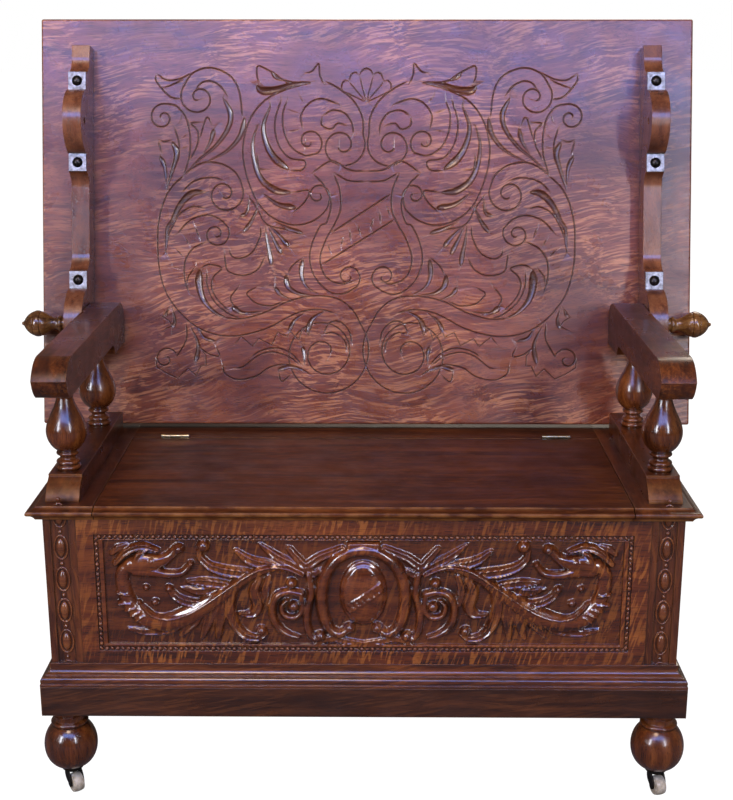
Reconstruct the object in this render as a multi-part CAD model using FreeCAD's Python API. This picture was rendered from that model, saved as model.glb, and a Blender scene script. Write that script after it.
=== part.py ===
import FreeCAD, Part
import math
import os
from FreeCAD import Placement, Rotation, Vector

# Oak monk's bench: a lift-lid chest seat whose back board tips over the arms to make a table.
# Millimetres. +X is to the sitter's left, +Y is to the back, +Z is up.
# Parts are drawn with Y = 0 at the front of the seat's lip, and moved once, at the end,
# so that the origin is at the middle of the whole object's footprint, on the floor.

# --- Table board (the back board when the bench is a seat) ---
TOP_WIDTH = 1143.0
TOP_HEIGHT = 711.0
TOP_THICK = 21.0
TOP_EDGE_ROUND = 3.0
TOP_LEAN = 13.5             # degrees back from upright
TOP_FOOT_GAP = 4.0          # lowest corner above the seat
TOP_FOOT_IN = 36.0          # lower front edge, in front of the seat's back
TOP_OVERHANG = 89.7         # board's ends past the chest's sides

# --- Chest ---
CHEST_DEEP = 431.0
CHEST_HIGH = 270.9          # plinth to seat
CARCASS_FRONT = 17.0        # posts behind the seat's lip
STILE_WIDE = 50.0
STILE_DEEP = 28.0
STILE_SINK = 3.0            # depth of the sunk carved strip
STILE_MARGIN = 11.0
PANEL_RECESS = 2.0
PANEL_THICK = 22.0
SIDE_THICK = 18.0
SIDE_RECESS = 3.0
BACK_THICK = 14.0
BACK_RECESS = 3.0
FLOOR_THICK = 12.0
BLOCK = 20.0                # inner glue blocks, square section
FIELD_MARGIN_X = 38.8       # carved field inside the front panel
FIELD_MARGIN_TOP = 33.5
FIELD_MARGIN_LOW = 31.8
FIELD_SINK = 4.0
BOSS_HALF_X = 24.0          # central oval boss
BOSS_HALF_Z = 40.0
BOSS_RISE = 8.0

# --- Seat ---
SEAT_THICK = 21.0
SEAT_OVER_SIDE = 21.7       # past the chest's sides
SEAT_OVER_BACK = 4.0
SEAT_RAIL_WIDE = 90.8       # fixed rail behind the lid
LID_FROM_ARM = 25.1         # lid's end in from the arm's inner face
LID_GAP = 1.2
SEAT_SLOPE_RUN = 13.0       # moulded edge: run of the top slope
SEAT_SLOPE_DROP = 5.5
SEAT_NOSE = 7.0             # height of the rounded nose
SEAT_NOSE_OUT = 2.0
SEAT_COVE_RUN = 12.0        # hollow under the nose

# --- Plinth, base moulding and feet ---
PLINTH_OUT = 16.7           # past the chest's front and sides
PLINTH_HIGH = 48.6
PLINTH_THICK = 22.0
MOULD_HIGH = 34.6
MOULD_FILLET = 5.0
MOULD_COVE = 12.0
FOOT_EDGE = 1.5             # foot's flange in from the plinth's faces
FOOT_HIGH = 102.0
FOOT_FLANGE_R = 33.0
FOOT_NECK_R = 24.0
FOOT_BEAD_R = 29.0
FOOT_BULB_R = 41.5
FOOT_LOW_R = 18.0
FOOT_BLOCK = 52.0

# --- Casters ---
WHEEL_R = 15.5
WHEEL_WIDE = 17.0
WHEEL_ROOM = 3.6            # wheel to the horn's disc above it
WHEEL_BORE_R = 2.05
AXLE_R = 2.0
CASTER_TRAIL = 10.0
CUP_R = 17.0
CUP_THICK = 6.0
SWIVEL_PIN_R = 3.0
SWIVEL_FIT = 0.06
SWIVEL_GAP = 0.4
HORN_DISC_R = 12.0
HORN_DISC_T = 3.0
CHEEK_T = 2.4
CHEEK_EYE_R = 5.5
CHEEK_GAP = 0.5
HEAD_LEFT = 37.0            # degrees the wheels point off straight ahead
HEAD_RIGHT = 17.0

# --- Arms, rails and balusters ---
ARM_RISE = 225.5            # arm's top above the seat
ARM_HEIGHT = 58.0
ARM_WIDTH = 51.0
ARM_INSET = 3.3             # arm's outer face in from the chest's side
ARM_TOP_FRONT = 34.0
ARM_NOSE = -10.0
ARM_NOSE_DROP = 29.0
ARM_CHIN = 14.0             # lower front edge
HEEL_DROP = 18.0            # deeper rear end of the arm, round the pivot
HEEL_AHEAD = 61.2           # heel's front, ahead of the pivot
HEEL_COVE = 18.0
RAIL_HEIGHT = 35.0
RAIL_FRONT = 29.0
RAIL_SHORT = 16.0           # rail's end, ahead of the board's foot
RAIL_FILLET = 4.0
RAIL_COVE = 30.0
BALUSTER_BACK = 26.0        # front baluster behind the rail's cove
BALUSTER_AHEAD = 19.0       # rear baluster ahead of the heel's cove
BULB_R = 31.0
RING_R = 18.5

# --- Pivot, battens, bolts and pegs ---
PIVOT_DROP = 36.5           # pivot below the arm's top
TIP_GAP = 0.8               # board to arm, tipped and upright
BATTEN_THICK = 31.0
BATTEN_GAP = 1.0            # batten to arm
BATTEN_TOP_DOWN = 53.0      # places down from the board's upper edge
PLATE_UPPER_DOWN = 120.0
LOCK_HOLE_DOWN = 191.0
PLATE_SECOND_DOWN = 259.0
PLATE_THIRD_UP = 74.5       # above the pivot
BATTEN_LOW_DROP = 88.5      # below the pivot
BATTEN_TOP_H = 32.0         # depths out from the board's face
BATTEN_WAIST_H = 42.0
BATTEN_SEAT_H = 62.0
BATTEN_LOBE_H = 110.0
LOCK_HOLE_H = 80.0
LOCK_HOLE_R = 6.0
PLATE_MARGIN = 0.5
PLATE_THICK = 3.0
BOLT_R = 5.0
BOLT_FIT = 0.1
BOLT_DOME_R = 9.0
BOLT_DOME_H = 6.0
BOLT_BITE = 12.0            # bolt's depth in the board
PEG_R = 9.0
PEG_FIT = 0.08
PEG_BLIND = 5.0             # wood left at the arm's inner face
PEG_END_GAP = 2.0
PEG_HANDLE = 89.0
PEG_MAX_R = 22.4
PEG_COLLAR_R = 13.6
PEG_NECK_R = 10.8
PEG_TIP_R = 3.3

# --- Lid hinges ---
HINGE_IN = 72.4             # hinge's middle in from the lid's end
HINGE_LONG = 48.0
HINGE_LEAF_T = 1.5
HINGE_LEAF_DEEP = 17.0
HINGE_JOINT = 3.2           # gap between lid and rear rail
KNUCKLE_R = 3.0
KNUCKLE_LIFT = 0.25         # knuckle clear of the wood
KNUCKLE_COVE_R = 4.7        # round the pin, eased out of both boards' edges
HINGE_PIN_R = 1.5
HINGE_FIT = 0.05
KNUCKLE_END_GAP = 0.3
SCREW_R = 1.8
SCREW_HEAD_R = 3.0
SCREW_LONG = 14.0
SCREW_OUT = 16.0            # screws either side of the hinge's middle

# --- Heights, from the floor up ---
HORN_TOP = 2 * WHEEL_R + WHEEL_ROOM + HORN_DISC_T
CUP_LOW = HORN_TOP + SWIVEL_GAP
FOOT_LOW = CUP_LOW + CUP_THICK
PLINTH_LOW = FOOT_LOW + FOOT_HIGH
PLINTH_TOP = PLINTH_LOW + PLINTH_HIGH
MOULD_TOP = PLINTH_TOP + MOULD_HIGH
FLOOR_LOW = PLINTH_TOP + BLOCK
SEAT_LOW = PLINTH_TOP + CHEST_HIGH
SEAT_TOP = SEAT_LOW + SEAT_THICK
RAIL_TOP = SEAT_TOP + RAIL_HEIGHT
ARM_TOP = SEAT_TOP + ARM_RISE
ARM_LOW = ARM_TOP - ARM_HEIGHT

# --- Widths, out from the middle ---
CARCASS_HALF = TOP_WIDTH / 2 - TOP_OVERHANG
STILE_INNER = CARCASS_HALF - STILE_WIDE
SIDE_OUTER = CARCASS_HALF - SIDE_RECESS
SIDE_INNER = SIDE_OUTER - SIDE_THICK
PLINTH_HALF = CARCASS_HALF + PLINTH_OUT
FOOT_INSET = FOOT_FLANGE_R + FOOT_EDGE
FOOT_X = PLINTH_HALF - FOOT_INSET
SEAT_HALF = CARCASS_HALF + SEAT_OVER_SIDE
ARM_OUTER = CARCASS_HALF - ARM_INSET
ARM_INNER = ARM_OUTER - ARM_WIDTH
ARM_MID = ARM_OUTER - ARM_WIDTH / 2
LID_HALF = ARM_INNER - LID_FROM_ARM
HINGE_X = LID_HALF - HINGE_IN
BATTEN_IN = ARM_OUTER + BATTEN_GAP
BATTEN_OUT = BATTEN_IN + BATTEN_THICK
BATTEN_MID = (BATTEN_IN + BATTEN_OUT) / 2
PLATE_SIDE = BATTEN_THICK - 2 * PLATE_MARGIN

# --- Depths, back from the lip ---
CARCASS_BACK = CARCASS_FRONT + CHEST_DEEP
PANEL_FRONT = CARCASS_FRONT + PANEL_RECESS
PANEL_INNER = PANEL_FRONT + PANEL_THICK
BACK_OUTER = CARCASS_BACK - BACK_RECESS
BACK_INNER = BACK_OUTER - BACK_THICK
PLINTH_FRONT = CARCASS_FRONT - PLINTH_OUT
PLINTH_BACK = CARCASS_BACK
FOOT_FRONT_Y = PLINTH_FRONT + FOOT_INSET
FOOT_REAR_Y = PLINTH_BACK - FOOT_INSET
SEAT_DEPTH = CARCASS_BACK + SEAT_OVER_BACK
RAIL_FACE = SEAT_DEPTH - SEAT_RAIL_WIDE
LID_REAR = RAIL_FACE - HINGE_JOINT
HINGE_Y = LID_REAR + HINGE_JOINT / 2
HINGE_Z = SEAT_TOP + KNUCKLE_R + KNUCKLE_LIFT

# --- The leaning board and its pivot ---
LEAN = math.radians(TOP_LEAN)
TOP_FOOT_Y = SEAT_DEPTH - TOP_FOOT_IN
TOP_FOOT_Z = SEAT_TOP + TOP_FOOT_GAP + TOP_THICK * math.sin(LEAN)
PIVOT_Z = ARM_TOP - PIVOT_DROP
PIVOT_H = PIVOT_DROP + TIP_GAP
FACE_Y_AT_PIVOT = TOP_FOOT_Y + (PIVOT_Z - TOP_FOOT_Z) * math.tan(LEAN)
PIVOT_Y = FACE_Y_AT_PIVOT - PIVOT_H / math.cos(LEAN)
PIVOT_S = (PIVOT_Y - TOP_FOOT_Y) * math.sin(LEAN) + (PIVOT_Z - TOP_FOOT_Z) * math.cos(LEAN)
HEEL_FRONT = PIVOT_Y - HEEL_AHEAD
RAIL_BACK = TOP_FOOT_Y - RAIL_SHORT
BALUSTER_FRONT_Y = RAIL_FRONT + RAIL_COVE + BALUSTER_BACK
BALUSTER_REAR_Y = HEEL_FRONT - HEEL_COVE - BALUSTER_AHEAD
BATTEN_TOP_S = TOP_HEIGHT - BATTEN_TOP_DOWN     # places up the board from its lower edge
BATTEN_LOW_S = PIVOT_S - BATTEN_LOW_DROP
LOCK_HOLE_S = TOP_HEIGHT - LOCK_HOLE_DOWN
PLATE_PLACES = (TOP_HEIGHT - PLATE_UPPER_DOWN, TOP_HEIGHT - PLATE_SECOND_DOWN, PIVOT_S + PLATE_THIRD_UP)

CHEEK_IN = WHEEL_WIDE / 2 + CHEEK_GAP
CHEEK_OUT = CHEEK_IN + CHEEK_T
TOP_REAR_Y = (TOP_FOOT_Y + TOP_HEIGHT * math.sin(LEAN) + TOP_THICK * math.cos(LEAN)
              - TOP_EDGE_ROUND * (math.sin(LEAN) + math.cos(LEAN) - 1))
MIDDLE_Y = (ARM_NOSE + TOP_REAR_Y) / 2

X_AXIS = Vector(1, 0, 0)
Y_AXIS = Vector(0, 1, 0)
Z_AXIS = Vector(0, 0, 1)
PLANES = {
    "yz": lambda a, b: Vector(0, a, b),
    "xz": lambda a, b: Vector(a, 0, b),
    "xy": lambda a, b: Vector(a, b, 0),
}


# --- Drawing helpers ---
def face(plane, start, *steps):
    """A closed flat face. A step of two numbers is a line, of four an arc (through, to),
    and a list of points is a smooth curve through them."""
    at = PLANES[plane]
    here = at(*start)
    edges = []
    for step in steps + (start,):
        if isinstance(step, list):
            points = [here] + [at(*p) for p in step]
            curve = Part.BSplineCurve()
            curve.interpolate(points)
            edges.append(curve.toShape())
            here = points[-1]
            continue
        end = at(*step[-2:])
        if (end - here).Length < 1e-6:
            continue
        if len(step) == 4:
            edges.append(Part.Arc(here, at(*step[:2]), end).toShape())
        else:
            edges.append(Part.LineSegment(here, end).toShape())
        here = end
    return Part.Face(Part.Wire(edges))


def along_x(flat, x0, x1):
    return flat.translated(Vector(x0, 0, 0)).extrude(Vector(x1 - x0, 0, 0))


def along_y(flat, y0, y1):
    return flat.translated(Vector(0, y0, 0)).extrude(Vector(0, y1 - y0, 0))


def box(x0, x1, y0, y1, z0, z1):
    return Part.makeBox(x1 - x0, y1 - y0, z1 - z0, Vector(x0, y0, z0))


def rod(radius, length, start, direction):
    return Part.makeCylinder(radius, length, start, direction)


def turned(start, *steps):
    """A piece turned about Z from its half outline in radius and height."""
    return face("xz", start, *steps).revolve(Vector(0, 0, 0), Z_AXIS, 360)


def cap(radius, height, base):
    """Arc step from the rim of a spherical cap, radius out and base up, to its crown."""
    ball = (radius ** 2 + height ** 2) / (2 * height)
    centre = height - ball
    middle = (math.pi / 2 + math.atan2(-centre, radius)) / 2
    return (ball * math.cos(middle), base + centre + ball * math.sin(middle), 0, base + height)


def moved(shape, x=0.0, y=0.0, z=0.0):
    return shape.translated(Vector(x, y, z))


def mirrored(shape):
    return shape.mirror(Vector(0, 0, 0), X_AXIS)


def leaning(shape):
    """From the board's own frame (Z up its face, Y through it) to its place, leaning back."""
    out = shape.copy()
    lean = Rotation(X_AXIS, -TOP_LEAN)
    out.Placement = Placement(Vector(0, TOP_FOOT_Y, TOP_FOOT_Z), lean).multiply(out.Placement)
    return out


def group(shapes):
    return Part.makeCompound(shapes)


# --- Board and battens ---
def table_top():
    board = box(-TOP_WIDTH / 2, TOP_WIDTH / 2, 0, TOP_THICK, 0, TOP_HEIGHT)
    board = board.makeFillet(TOP_EDGE_ROUND, board.Edges)
    for side in (-1, 1):
        for place in PLATE_PLACES:
            board = board.cut(rod(BOLT_R + BOLT_FIT, BOLT_BITE + BOLT_FIT,
                                  Vector(side * BATTEN_MID, 0, place), Y_AXIS))
    return leaning(board)


def batten():
    """Right-hand batten: two rounded lobes, a narrow waist and three bolt seats."""
    upper, second, third = PLATE_PLACES
    seat = PLATE_SIDE / 2 + 0.5
    lobe_reach = LOCK_HOLE_S - (second + seat)
    pivot_top = third - seat
    pivot_low = 2 * PIVOT_S - pivot_top
    outline = face(
        "yz", (0, BATTEN_LOW_S),
        (-BATTEN_TOP_H, BATTEN_LOW_S),
        (-BATTEN_TOP_H, pivot_low - 26),
        (-BATTEN_TOP_H - 6, pivot_low - 12, -BATTEN_SEAT_H + 4, pivot_low),
        (-BATTEN_LOBE_H, PIVOT_S, -BATTEN_SEAT_H - 6, pivot_top),
        (-BATTEN_SEAT_H, pivot_top),
        (-BATTEN_SEAT_H, third + seat),
        (-BATTEN_SEAT_H - 3, third + seat),
        (-BATTEN_WAIST_H - 6, third + seat + 12, -BATTEN_WAIST_H, third + seat + 30),
        (-BATTEN_WAIST_H, second - seat - 24),
        (-BATTEN_WAIST_H - 6, second - seat - 8, -BATTEN_SEAT_H - 1, second - seat),
        (-BATTEN_SEAT_H, second - seat),
        (-BATTEN_SEAT_H, second + seat),
        (-BATTEN_SEAT_H - 6, second + seat),
        (-BATTEN_LOBE_H, second + seat + lobe_reach, -BATTEN_SEAT_H - 6, upper - seat),
        (-BATTEN_SEAT_H, upper - seat),
        (-BATTEN_SEAT_H, upper + seat),
        (-BATTEN_SEAT_H + 4, upper + seat),
        (-BATTEN_TOP_H - 8, upper + seat + 12, -BATTEN_TOP_H - 3, upper + seat + 30),
        (-BATTEN_TOP_H, BATTEN_TOP_S),
        (0, BATTEN_TOP_S),
    )
    body = along_x(outline, BATTEN_IN, BATTEN_OUT)
    for place in PLATE_PLACES:
        start = Vector(BATTEN_MID, -BATTEN_SEAT_H, place)
        body = body.cut(rod(BOLT_R + BOLT_FIT, BATTEN_SEAT_H, start, Y_AXIS))
    across = BATTEN_THICK
    body = body.cut(rod(PEG_R + PEG_FIT, across, Vector(BATTEN_IN, -PIVOT_H, PIVOT_S), X_AXIS))
    body = body.cut(rod(LOCK_HOLE_R, across, Vector(BATTEN_IN, -LOCK_HOLE_H, LOCK_HOLE_S), X_AXIS))
    return leaning(body)


def batten_plates():
    plates = []
    for place in PLATE_PLACES:
        plate = box(BATTEN_MID - PLATE_SIDE / 2, BATTEN_MID + PLATE_SIDE / 2,
                    -BATTEN_SEAT_H - PLATE_THICK, -BATTEN_SEAT_H,
                    place - PLATE_SIDE / 2, place + PLATE_SIDE / 2)
        hole = rod(BOLT_R + BOLT_FIT, PLATE_THICK,
                   Vector(BATTEN_MID, -BATTEN_SEAT_H - PLATE_THICK, place), Y_AXIS)
        plates.append(leaning(plate.cut(hole)))
    return group(plates)


def batten_bolts():
    shank = PLATE_THICK + BATTEN_SEAT_H + BOLT_BITE
    bolts = []
    for place in PLATE_PLACES:
        bolt = turned((0, 0), (BOLT_R, 0), (BOLT_R, shank), (BOLT_DOME_R, shank),
                      cap(BOLT_DOME_R, BOLT_DOME_H, shank))
        bolt.rotate(Vector(0, 0, 0), X_AXIS, 90)
        bolts.append(leaning(moved(bolt, BATTEN_MID, BOLT_BITE, place)))
    return group(bolts)


def pivot_peg():
    """Right-hand peg: shank through batten and arm, turned handle outside."""
    inner = ARM_INNER + PEG_BLIND + PEG_END_GAP
    shank = BATTEN_OUT - inner
    peg = turned(
        (0, 0), (PEG_R - 1, 0), (PEG_R, 2), (PEG_R, shank + 0.4),
        (PEG_COLLAR_R - 1, shank + 0.4),
        (PEG_COLLAR_R, shank + 4.5, PEG_COLLAR_R - 1, shank + 8.5),
        (PEG_NECK_R, shank + 9.5),
        (PEG_NECK_R - 0.6, shank + 13.5, PEG_NECK_R, shank + 17.5),
        (PEG_COLLAR_R - 1.2, shank + 18.5),
        (PEG_COLLAR_R, shank + 21.5, PEG_COLLAR_R - 1.2, shank + 24.5),
        (PEG_NECK_R + 0.3, shank + 25.5),
        [(PEG_NECK_R, shank + 31), (PEG_NECK_R + 5, shank + 42), (PEG_MAX_R - 1.2, shank + 54)],
        (PEG_MAX_R - 2.2, shank + 55),
        (PEG_MAX_R - 0.4, shank + 56),
        (PEG_MAX_R + 0.4, shank + 61, PEG_MAX_R - 0.8, shank + 66),
        (PEG_MAX_R - 2.4, shank + 67),
        (PEG_MAX_R - 1.6, shank + 68),
        [(PEG_MAX_R - 6.5, shank + 76), (5.5, shank + 84)],
        (PEG_TIP_R, shank + PEG_HANDLE - PEG_TIP_R),
        cap(PEG_TIP_R, PEG_TIP_R, shank + PEG_HANDLE - PEG_TIP_R),
    )
    peg.rotate(Vector(0, 0, 0), Y_AXIS, 90)
    return moved(peg, inner, PIVOT_Y, PIVOT_Z)


# --- Arms ---
def arm():
    """Right-hand arm. Its rear shoulder is concentric with the pivot, so the board clears it."""
    reach = PIVOT_DROP
    shoulder = (math.pi / 2 - LEAN) / 2
    face_y = PIVOT_Y + reach * math.cos(LEAN)
    face_z = PIVOT_Z - reach * math.sin(LEAN)
    heel_low = ARM_LOW - HEEL_DROP
    heel_back = face_y - (face_z - heel_low) * math.tan(LEAN)
    nose_z = ARM_TOP - ARM_NOSE_DROP
    outline = face(
        "yz", (ARM_TOP_FRONT, ARM_TOP),
        (PIVOT_Y, ARM_TOP),
        (PIVOT_Y + reach * math.cos(shoulder), PIVOT_Z + reach * math.sin(shoulder), face_y, face_z),
        (heel_back, heel_low),
        (HEEL_FRONT, heel_low),
        (HEEL_FRONT - HEEL_COVE * 0.29, ARM_LOW - HEEL_DROP * 0.29, HEEL_FRONT - HEEL_COVE, ARM_LOW),
        (ARM_CHIN, ARM_LOW),
        (ARM_CHIN - 13, ARM_LOW + 10, ARM_NOSE + 1.5, nose_z - 1),
        (ARM_NOSE, nose_z + 1),
        (ARM_NOSE + 16, ARM_TOP - 10, ARM_TOP_FRONT, ARM_TOP),
    )
    body = along_x(outline, ARM_INNER, ARM_OUTER)
    deep = ARM_WIDTH - PEG_BLIND
    return body.cut(rod(PEG_R + PEG_FIT, deep, Vector(ARM_OUTER - deep, PIVOT_Y, PIVOT_Z), X_AXIS))


def arm_rail():
    step = SEAT_TOP + RAIL_FILLET
    outline = face(
        "yz", (RAIL_FRONT, SEAT_TOP),
        (RAIL_BACK, SEAT_TOP),
        (RAIL_BACK, RAIL_TOP),
        (RAIL_FRONT + RAIL_COVE, RAIL_TOP),
        (RAIL_FRONT + RAIL_COVE, RAIL_TOP - RAIL_FILLET),
        (RAIL_FRONT + RAIL_COVE * 0.33, SEAT_TOP + RAIL_HEIGHT * 0.46, RAIL_FRONT + 2, step + 2),
        (RAIL_FRONT, step),
    )
    return along_x(outline, ARM_INNER, ARM_OUTER)


def baluster(y):
    """Turned pear on two rings and a cove, with a collar under the arm."""
    high = ARM_LOW - RAIL_TOP
    rings = 31
    pear_high = high - rings - 18
    pear = turned(
        (0, 0), (RING_R - 1, 0), (RING_R - 1, 1.5),
        (RING_R + 1, 5, RING_R - 1, 8.5),
        (RING_R - 3, 9.5),
        (RING_R - 2, 10.5),
        (RING_R - 0.6, 13.2, RING_R - 2, 16),
        (RING_R - 4.5, 17.5),
        (RING_R - 6.5, 20.5, RING_R - 4.5, 23.5),
        (RING_R - 3, 24.5),
        (RING_R - 1.2, 27.2, RING_R - 3, 30),
        (RING_R - 4, rings),
        [(BULB_R * 0.72, rings + 0.08 * pear_high), (BULB_R, rings + 0.368 * pear_high),
         (BULB_R * 0.82, rings + 0.62 * pear_high), (BULB_R * 0.53, rings + 0.847 * pear_high),
         (BULB_R * 0.4, rings + pear_high)],
        (BULB_R * 0.4, high - 17),
        (BULB_R * 0.44, high - 14.5, BULB_R * 0.4, high - 12),
        (9, high - 11),
        (8.4, high - 6, 9.6, high - 1.5),
        (10.5, high - 1.5),
        (10.5, high),
        (0, high),
    )
    return moved(pear, ARM_MID, y, RAIL_TOP)


# --- Seat ---
def lip_outline(depth):
    """Moulded edge in distance from the lip and height: slope, nose and hollow below."""
    nose_top = SEAT_TOP - SEAT_SLOPE_DROP
    nose_low = nose_top - SEAT_NOSE
    return (
        (depth, SEAT_LOW),
        (depth, SEAT_TOP),
        (SEAT_SLOPE_RUN, SEAT_TOP),
        (SEAT_SLOPE_RUN - 0.3, SEAT_TOP - 1.6),
        (SEAT_SLOPE_RUN * 0.55, nose_top + 0.6, SEAT_NOSE_OUT, nose_top),
        (0, nose_top - SEAT_NOSE / 2, SEAT_NOSE_OUT, nose_low),
        (SEAT_COVE_RUN * 0.6, nose_low - 2.2, SEAT_COVE_RUN, SEAT_LOW),
    )


def seat_end():
    """Right-hand fixed end of the seat, moulded along its front and its side."""
    front = along_x(face("yz", *lip_outline(SEAT_DEPTH)), 0, SEAT_HALF)
    edge = []
    for step in lip_outline(SEAT_HALF - LID_HALF - LID_GAP):
        flipped = [value if i % 2 else SEAT_HALF - value for i, value in enumerate(step)]
        edge.append(tuple(flipped))
    side = along_y(face("xz", *edge), 0, SEAT_DEPTH)
    return front.common(side)


def seat_lid():
    lid = along_x(face("yz", *lip_outline(LID_REAR)), -LID_HALF, LID_HALF)
    return cut_hinge_beds(lid, -1)


def seat_rear_rail():
    half = LID_HALF + LID_GAP
    rail = box(-half, half, RAIL_FACE, SEAT_DEPTH, SEAT_LOW, SEAT_TOP)
    return cut_hinge_beds(rail, 1)


# --- Hinges ---
def screw_places():
    z = HINGE_Z - KNUCKLE_R - HINGE_LEAF_DEEP / 2
    return [(side * HINGE_X + step, z) for side in (-1, 1) for step in (-SCREW_OUT, SCREW_OUT)]


def screw(x, z, way):
    """A countersunk wood screw, its head in the leaf and its point along way."""
    head = HINGE_LEAF_T
    body = turned((0, 0), (SCREW_HEAD_R, 0), (SCREW_R, head), (SCREW_R, SCREW_LONG - 4), (0, SCREW_LONG))
    body.rotate(Vector(0, 0, 0), X_AXIS, -90 * way)
    return moved(body, x, HINGE_Y + way * (HINGE_JOINT / 2 - HINGE_LEAF_T), z)


def cut_hinge_beds(board, way):
    for x, z in screw_places():
        board = board.cut(screw(x, z, way))
    for side in (-1, 1):
        start = Vector(side * HINGE_X - HINGE_LONG / 2 - 1, HINGE_Y, HINGE_Z)
        board = board.cut(rod(KNUCKLE_COVE_R, HINGE_LONG + 2, start, X_AXIS))
    return board


def hinge_leaf(side, way):
    """One leaf of a butt hinge. The rail's leaf (way 1) has the outer knuckles."""
    middle = side * HINGE_X
    low = HINGE_Z - KNUCKLE_R - HINGE_LEAF_DEEP
    high = HINGE_Z - KNUCKLE_R - 0.2
    inner = HINGE_Y + way * (HINGE_JOINT / 2 - HINGE_LEAF_T)
    outer = HINGE_Y + way * HINGE_JOINT / 2
    y0, y1 = min(inner, outer), max(inner, outer)
    third = HINGE_LONG / 3
    start = middle - HINGE_LONG / 2
    leaf = box(start, start + HINGE_LONG, y0, y1, low, high)
    spans = [(start, start + third), (start + 2 * third, start + HINGE_LONG)]
    if way < 0:
        spans = [(start + third + KNUCKLE_END_GAP, start + 2 * third - KNUCKLE_END_GAP)]
    bore = rod(HINGE_PIN_R + HINGE_FIT, HINGE_LONG, Vector(start, HINGE_Y, HINGE_Z), X_AXIS)
    for x0, x1 in spans:
        barrel = rod(KNUCKLE_R, x1 - x0, Vector(x0, HINGE_Y, HINGE_Z), X_AXIS)
        web = box(x0, x1, y0, y1, high - 1, HINGE_Z)
        leaf = leaf.fuse(barrel).fuse(web)
    leaf = leaf.cut(bore)
    for x, z in screw_places():
        leaf = leaf.cut(screw(x, z, way))
    return leaf.removeSplitter()


def hinge_pin(side):
    start = Vector(side * HINGE_X - HINGE_LONG / 2, HINGE_Y, HINGE_Z)
    return rod(HINGE_PIN_R, HINGE_LONG, start, X_AXIS)


# --- Carcass ---
def front_stile():
    """Right-hand front post with its sunk strip."""
    post = box(STILE_INNER, CARCASS_HALF, CARCASS_FRONT, CARCASS_FRONT + STILE_DEEP, PLINTH_TOP, SEAT_LOW)
    strip = box(STILE_INNER + STILE_MARGIN, CARCASS_HALF - STILE_MARGIN,
                CARCASS_FRONT, CARCASS_FRONT + STILE_SINK, MOULD_TOP, SEAT_LOW)
    return post.cut(strip)


def rear_stile():
    return box(STILE_INNER, CARCASS_HALF, CARCASS_BACK - STILE_DEEP, CARCASS_BACK, PLINTH_TOP, SEAT_LOW)


def front_panel():
    """Front board with its sunk field and the oval boss that stands in it."""
    board = box(-STILE_INNER, STILE_INNER, PANEL_FRONT, PANEL_INNER, PLINTH_TOP, SEAT_LOW)
    low, high = MOULD_TOP + FIELD_MARGIN_LOW, SEAT_LOW - FIELD_MARGIN_TOP
    half = STILE_INNER - FIELD_MARGIN_X
    board = board.cut(box(-half, half, PANEL_FRONT, PANEL_FRONT + FIELD_SINK, low, high))
    dome = Part.makeSphere(1.0)
    stretch = FreeCAD.Matrix()
    stretch.scale(BOSS_HALF_X, BOSS_RISE, BOSS_HALF_Z)
    dome = moved(dome.transformGeometry(stretch), 0, PANEL_FRONT + FIELD_SINK, (low + high) / 2)
    ahead = box(-half, half, PANEL_FRONT - BOSS_RISE, PANEL_FRONT + FIELD_SINK + 1, low, high)
    return board.fuse(dome.common(ahead))


def side_panel():
    return box(SIDE_INNER, SIDE_OUTER, CARCASS_FRONT + STILE_DEEP, CARCASS_BACK - STILE_DEEP,
               PLINTH_TOP, SEAT_LOW)


def back_panel():
    return box(-STILE_INNER, STILE_INNER, BACK_INNER, BACK_OUTER, PLINTH_TOP, SEAT_LOW)


def chest_floor():
    z0, z1 = FLOOR_LOW, FLOOR_LOW + FLOOR_THICK
    floor = box(-SIDE_INNER, SIDE_INNER, PANEL_INNER, BACK_INNER, z0, z1)
    for side in (-1, 1):
        x0, x1 = sorted((side * STILE_INNER, side * SIDE_INNER))
        floor = floor.cut(box(x0, x1, PANEL_INNER, CARCASS_FRONT + STILE_DEEP, z0, z1))
        floor = floor.cut(box(x0, x1, CARCASS_BACK - STILE_DEEP, BACK_INNER, z0, z1))
    return floor


def inner_blocks():
    """Glue blocks: four rails under the chest floor and four over the feet."""
    z0, z1 = PLINTH_TOP, FLOOR_LOW
    blocks = [
        box(-STILE_INNER + BLOCK, STILE_INNER - BLOCK, PANEL_INNER, PANEL_INNER + BLOCK, z0, z1),
        box(-STILE_INNER + BLOCK, STILE_INNER - BLOCK, BACK_INNER - BLOCK, BACK_INNER, z0, z1),
    ]
    for side in (-1, 1):
        x0, x1 = sorted((side * SIDE_INNER, side * (SIDE_INNER - BLOCK)))
        blocks.append(box(x0, x1, CARCASS_FRONT + STILE_DEEP, CARCASS_BACK - STILE_DEEP, z0, z1))
        inside = PLINTH_HALF - PLINTH_THICK
        x0, x1 = sorted((side * inside, side * (inside - FOOT_BLOCK)))
        front = PLINTH_FRONT + PLINTH_THICK
        back = PLINTH_BACK - PLINTH_THICK
        blocks.append(box(x0, x1, front, front + FOOT_BLOCK, PLINTH_LOW, PLINTH_TOP))
        blocks.append(box(x0, x1, back - FOOT_BLOCK, back, PLINTH_LOW, PLINTH_TOP))
    return group(blocks)


# --- Plinth and moulding ---
def mitred(front_bar, side_bar, x_out, y_front, y_back):
    """Cut a front bar and a right-hand side bar to meet in a 45 degree mitre."""
    past = PLINTH_THICK
    side_room = face("xy", (x_out + past, y_front - past), (x_out + past, y_back + past),
                     (x_out - (y_back - y_front) - past, y_back + past))
    side_room = side_room.extrude(Vector(0, 0, SEAT_TOP))
    front = front_bar.cut(side_room).cut(mirrored(side_room))
    return front, side_bar.common(side_room)


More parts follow.
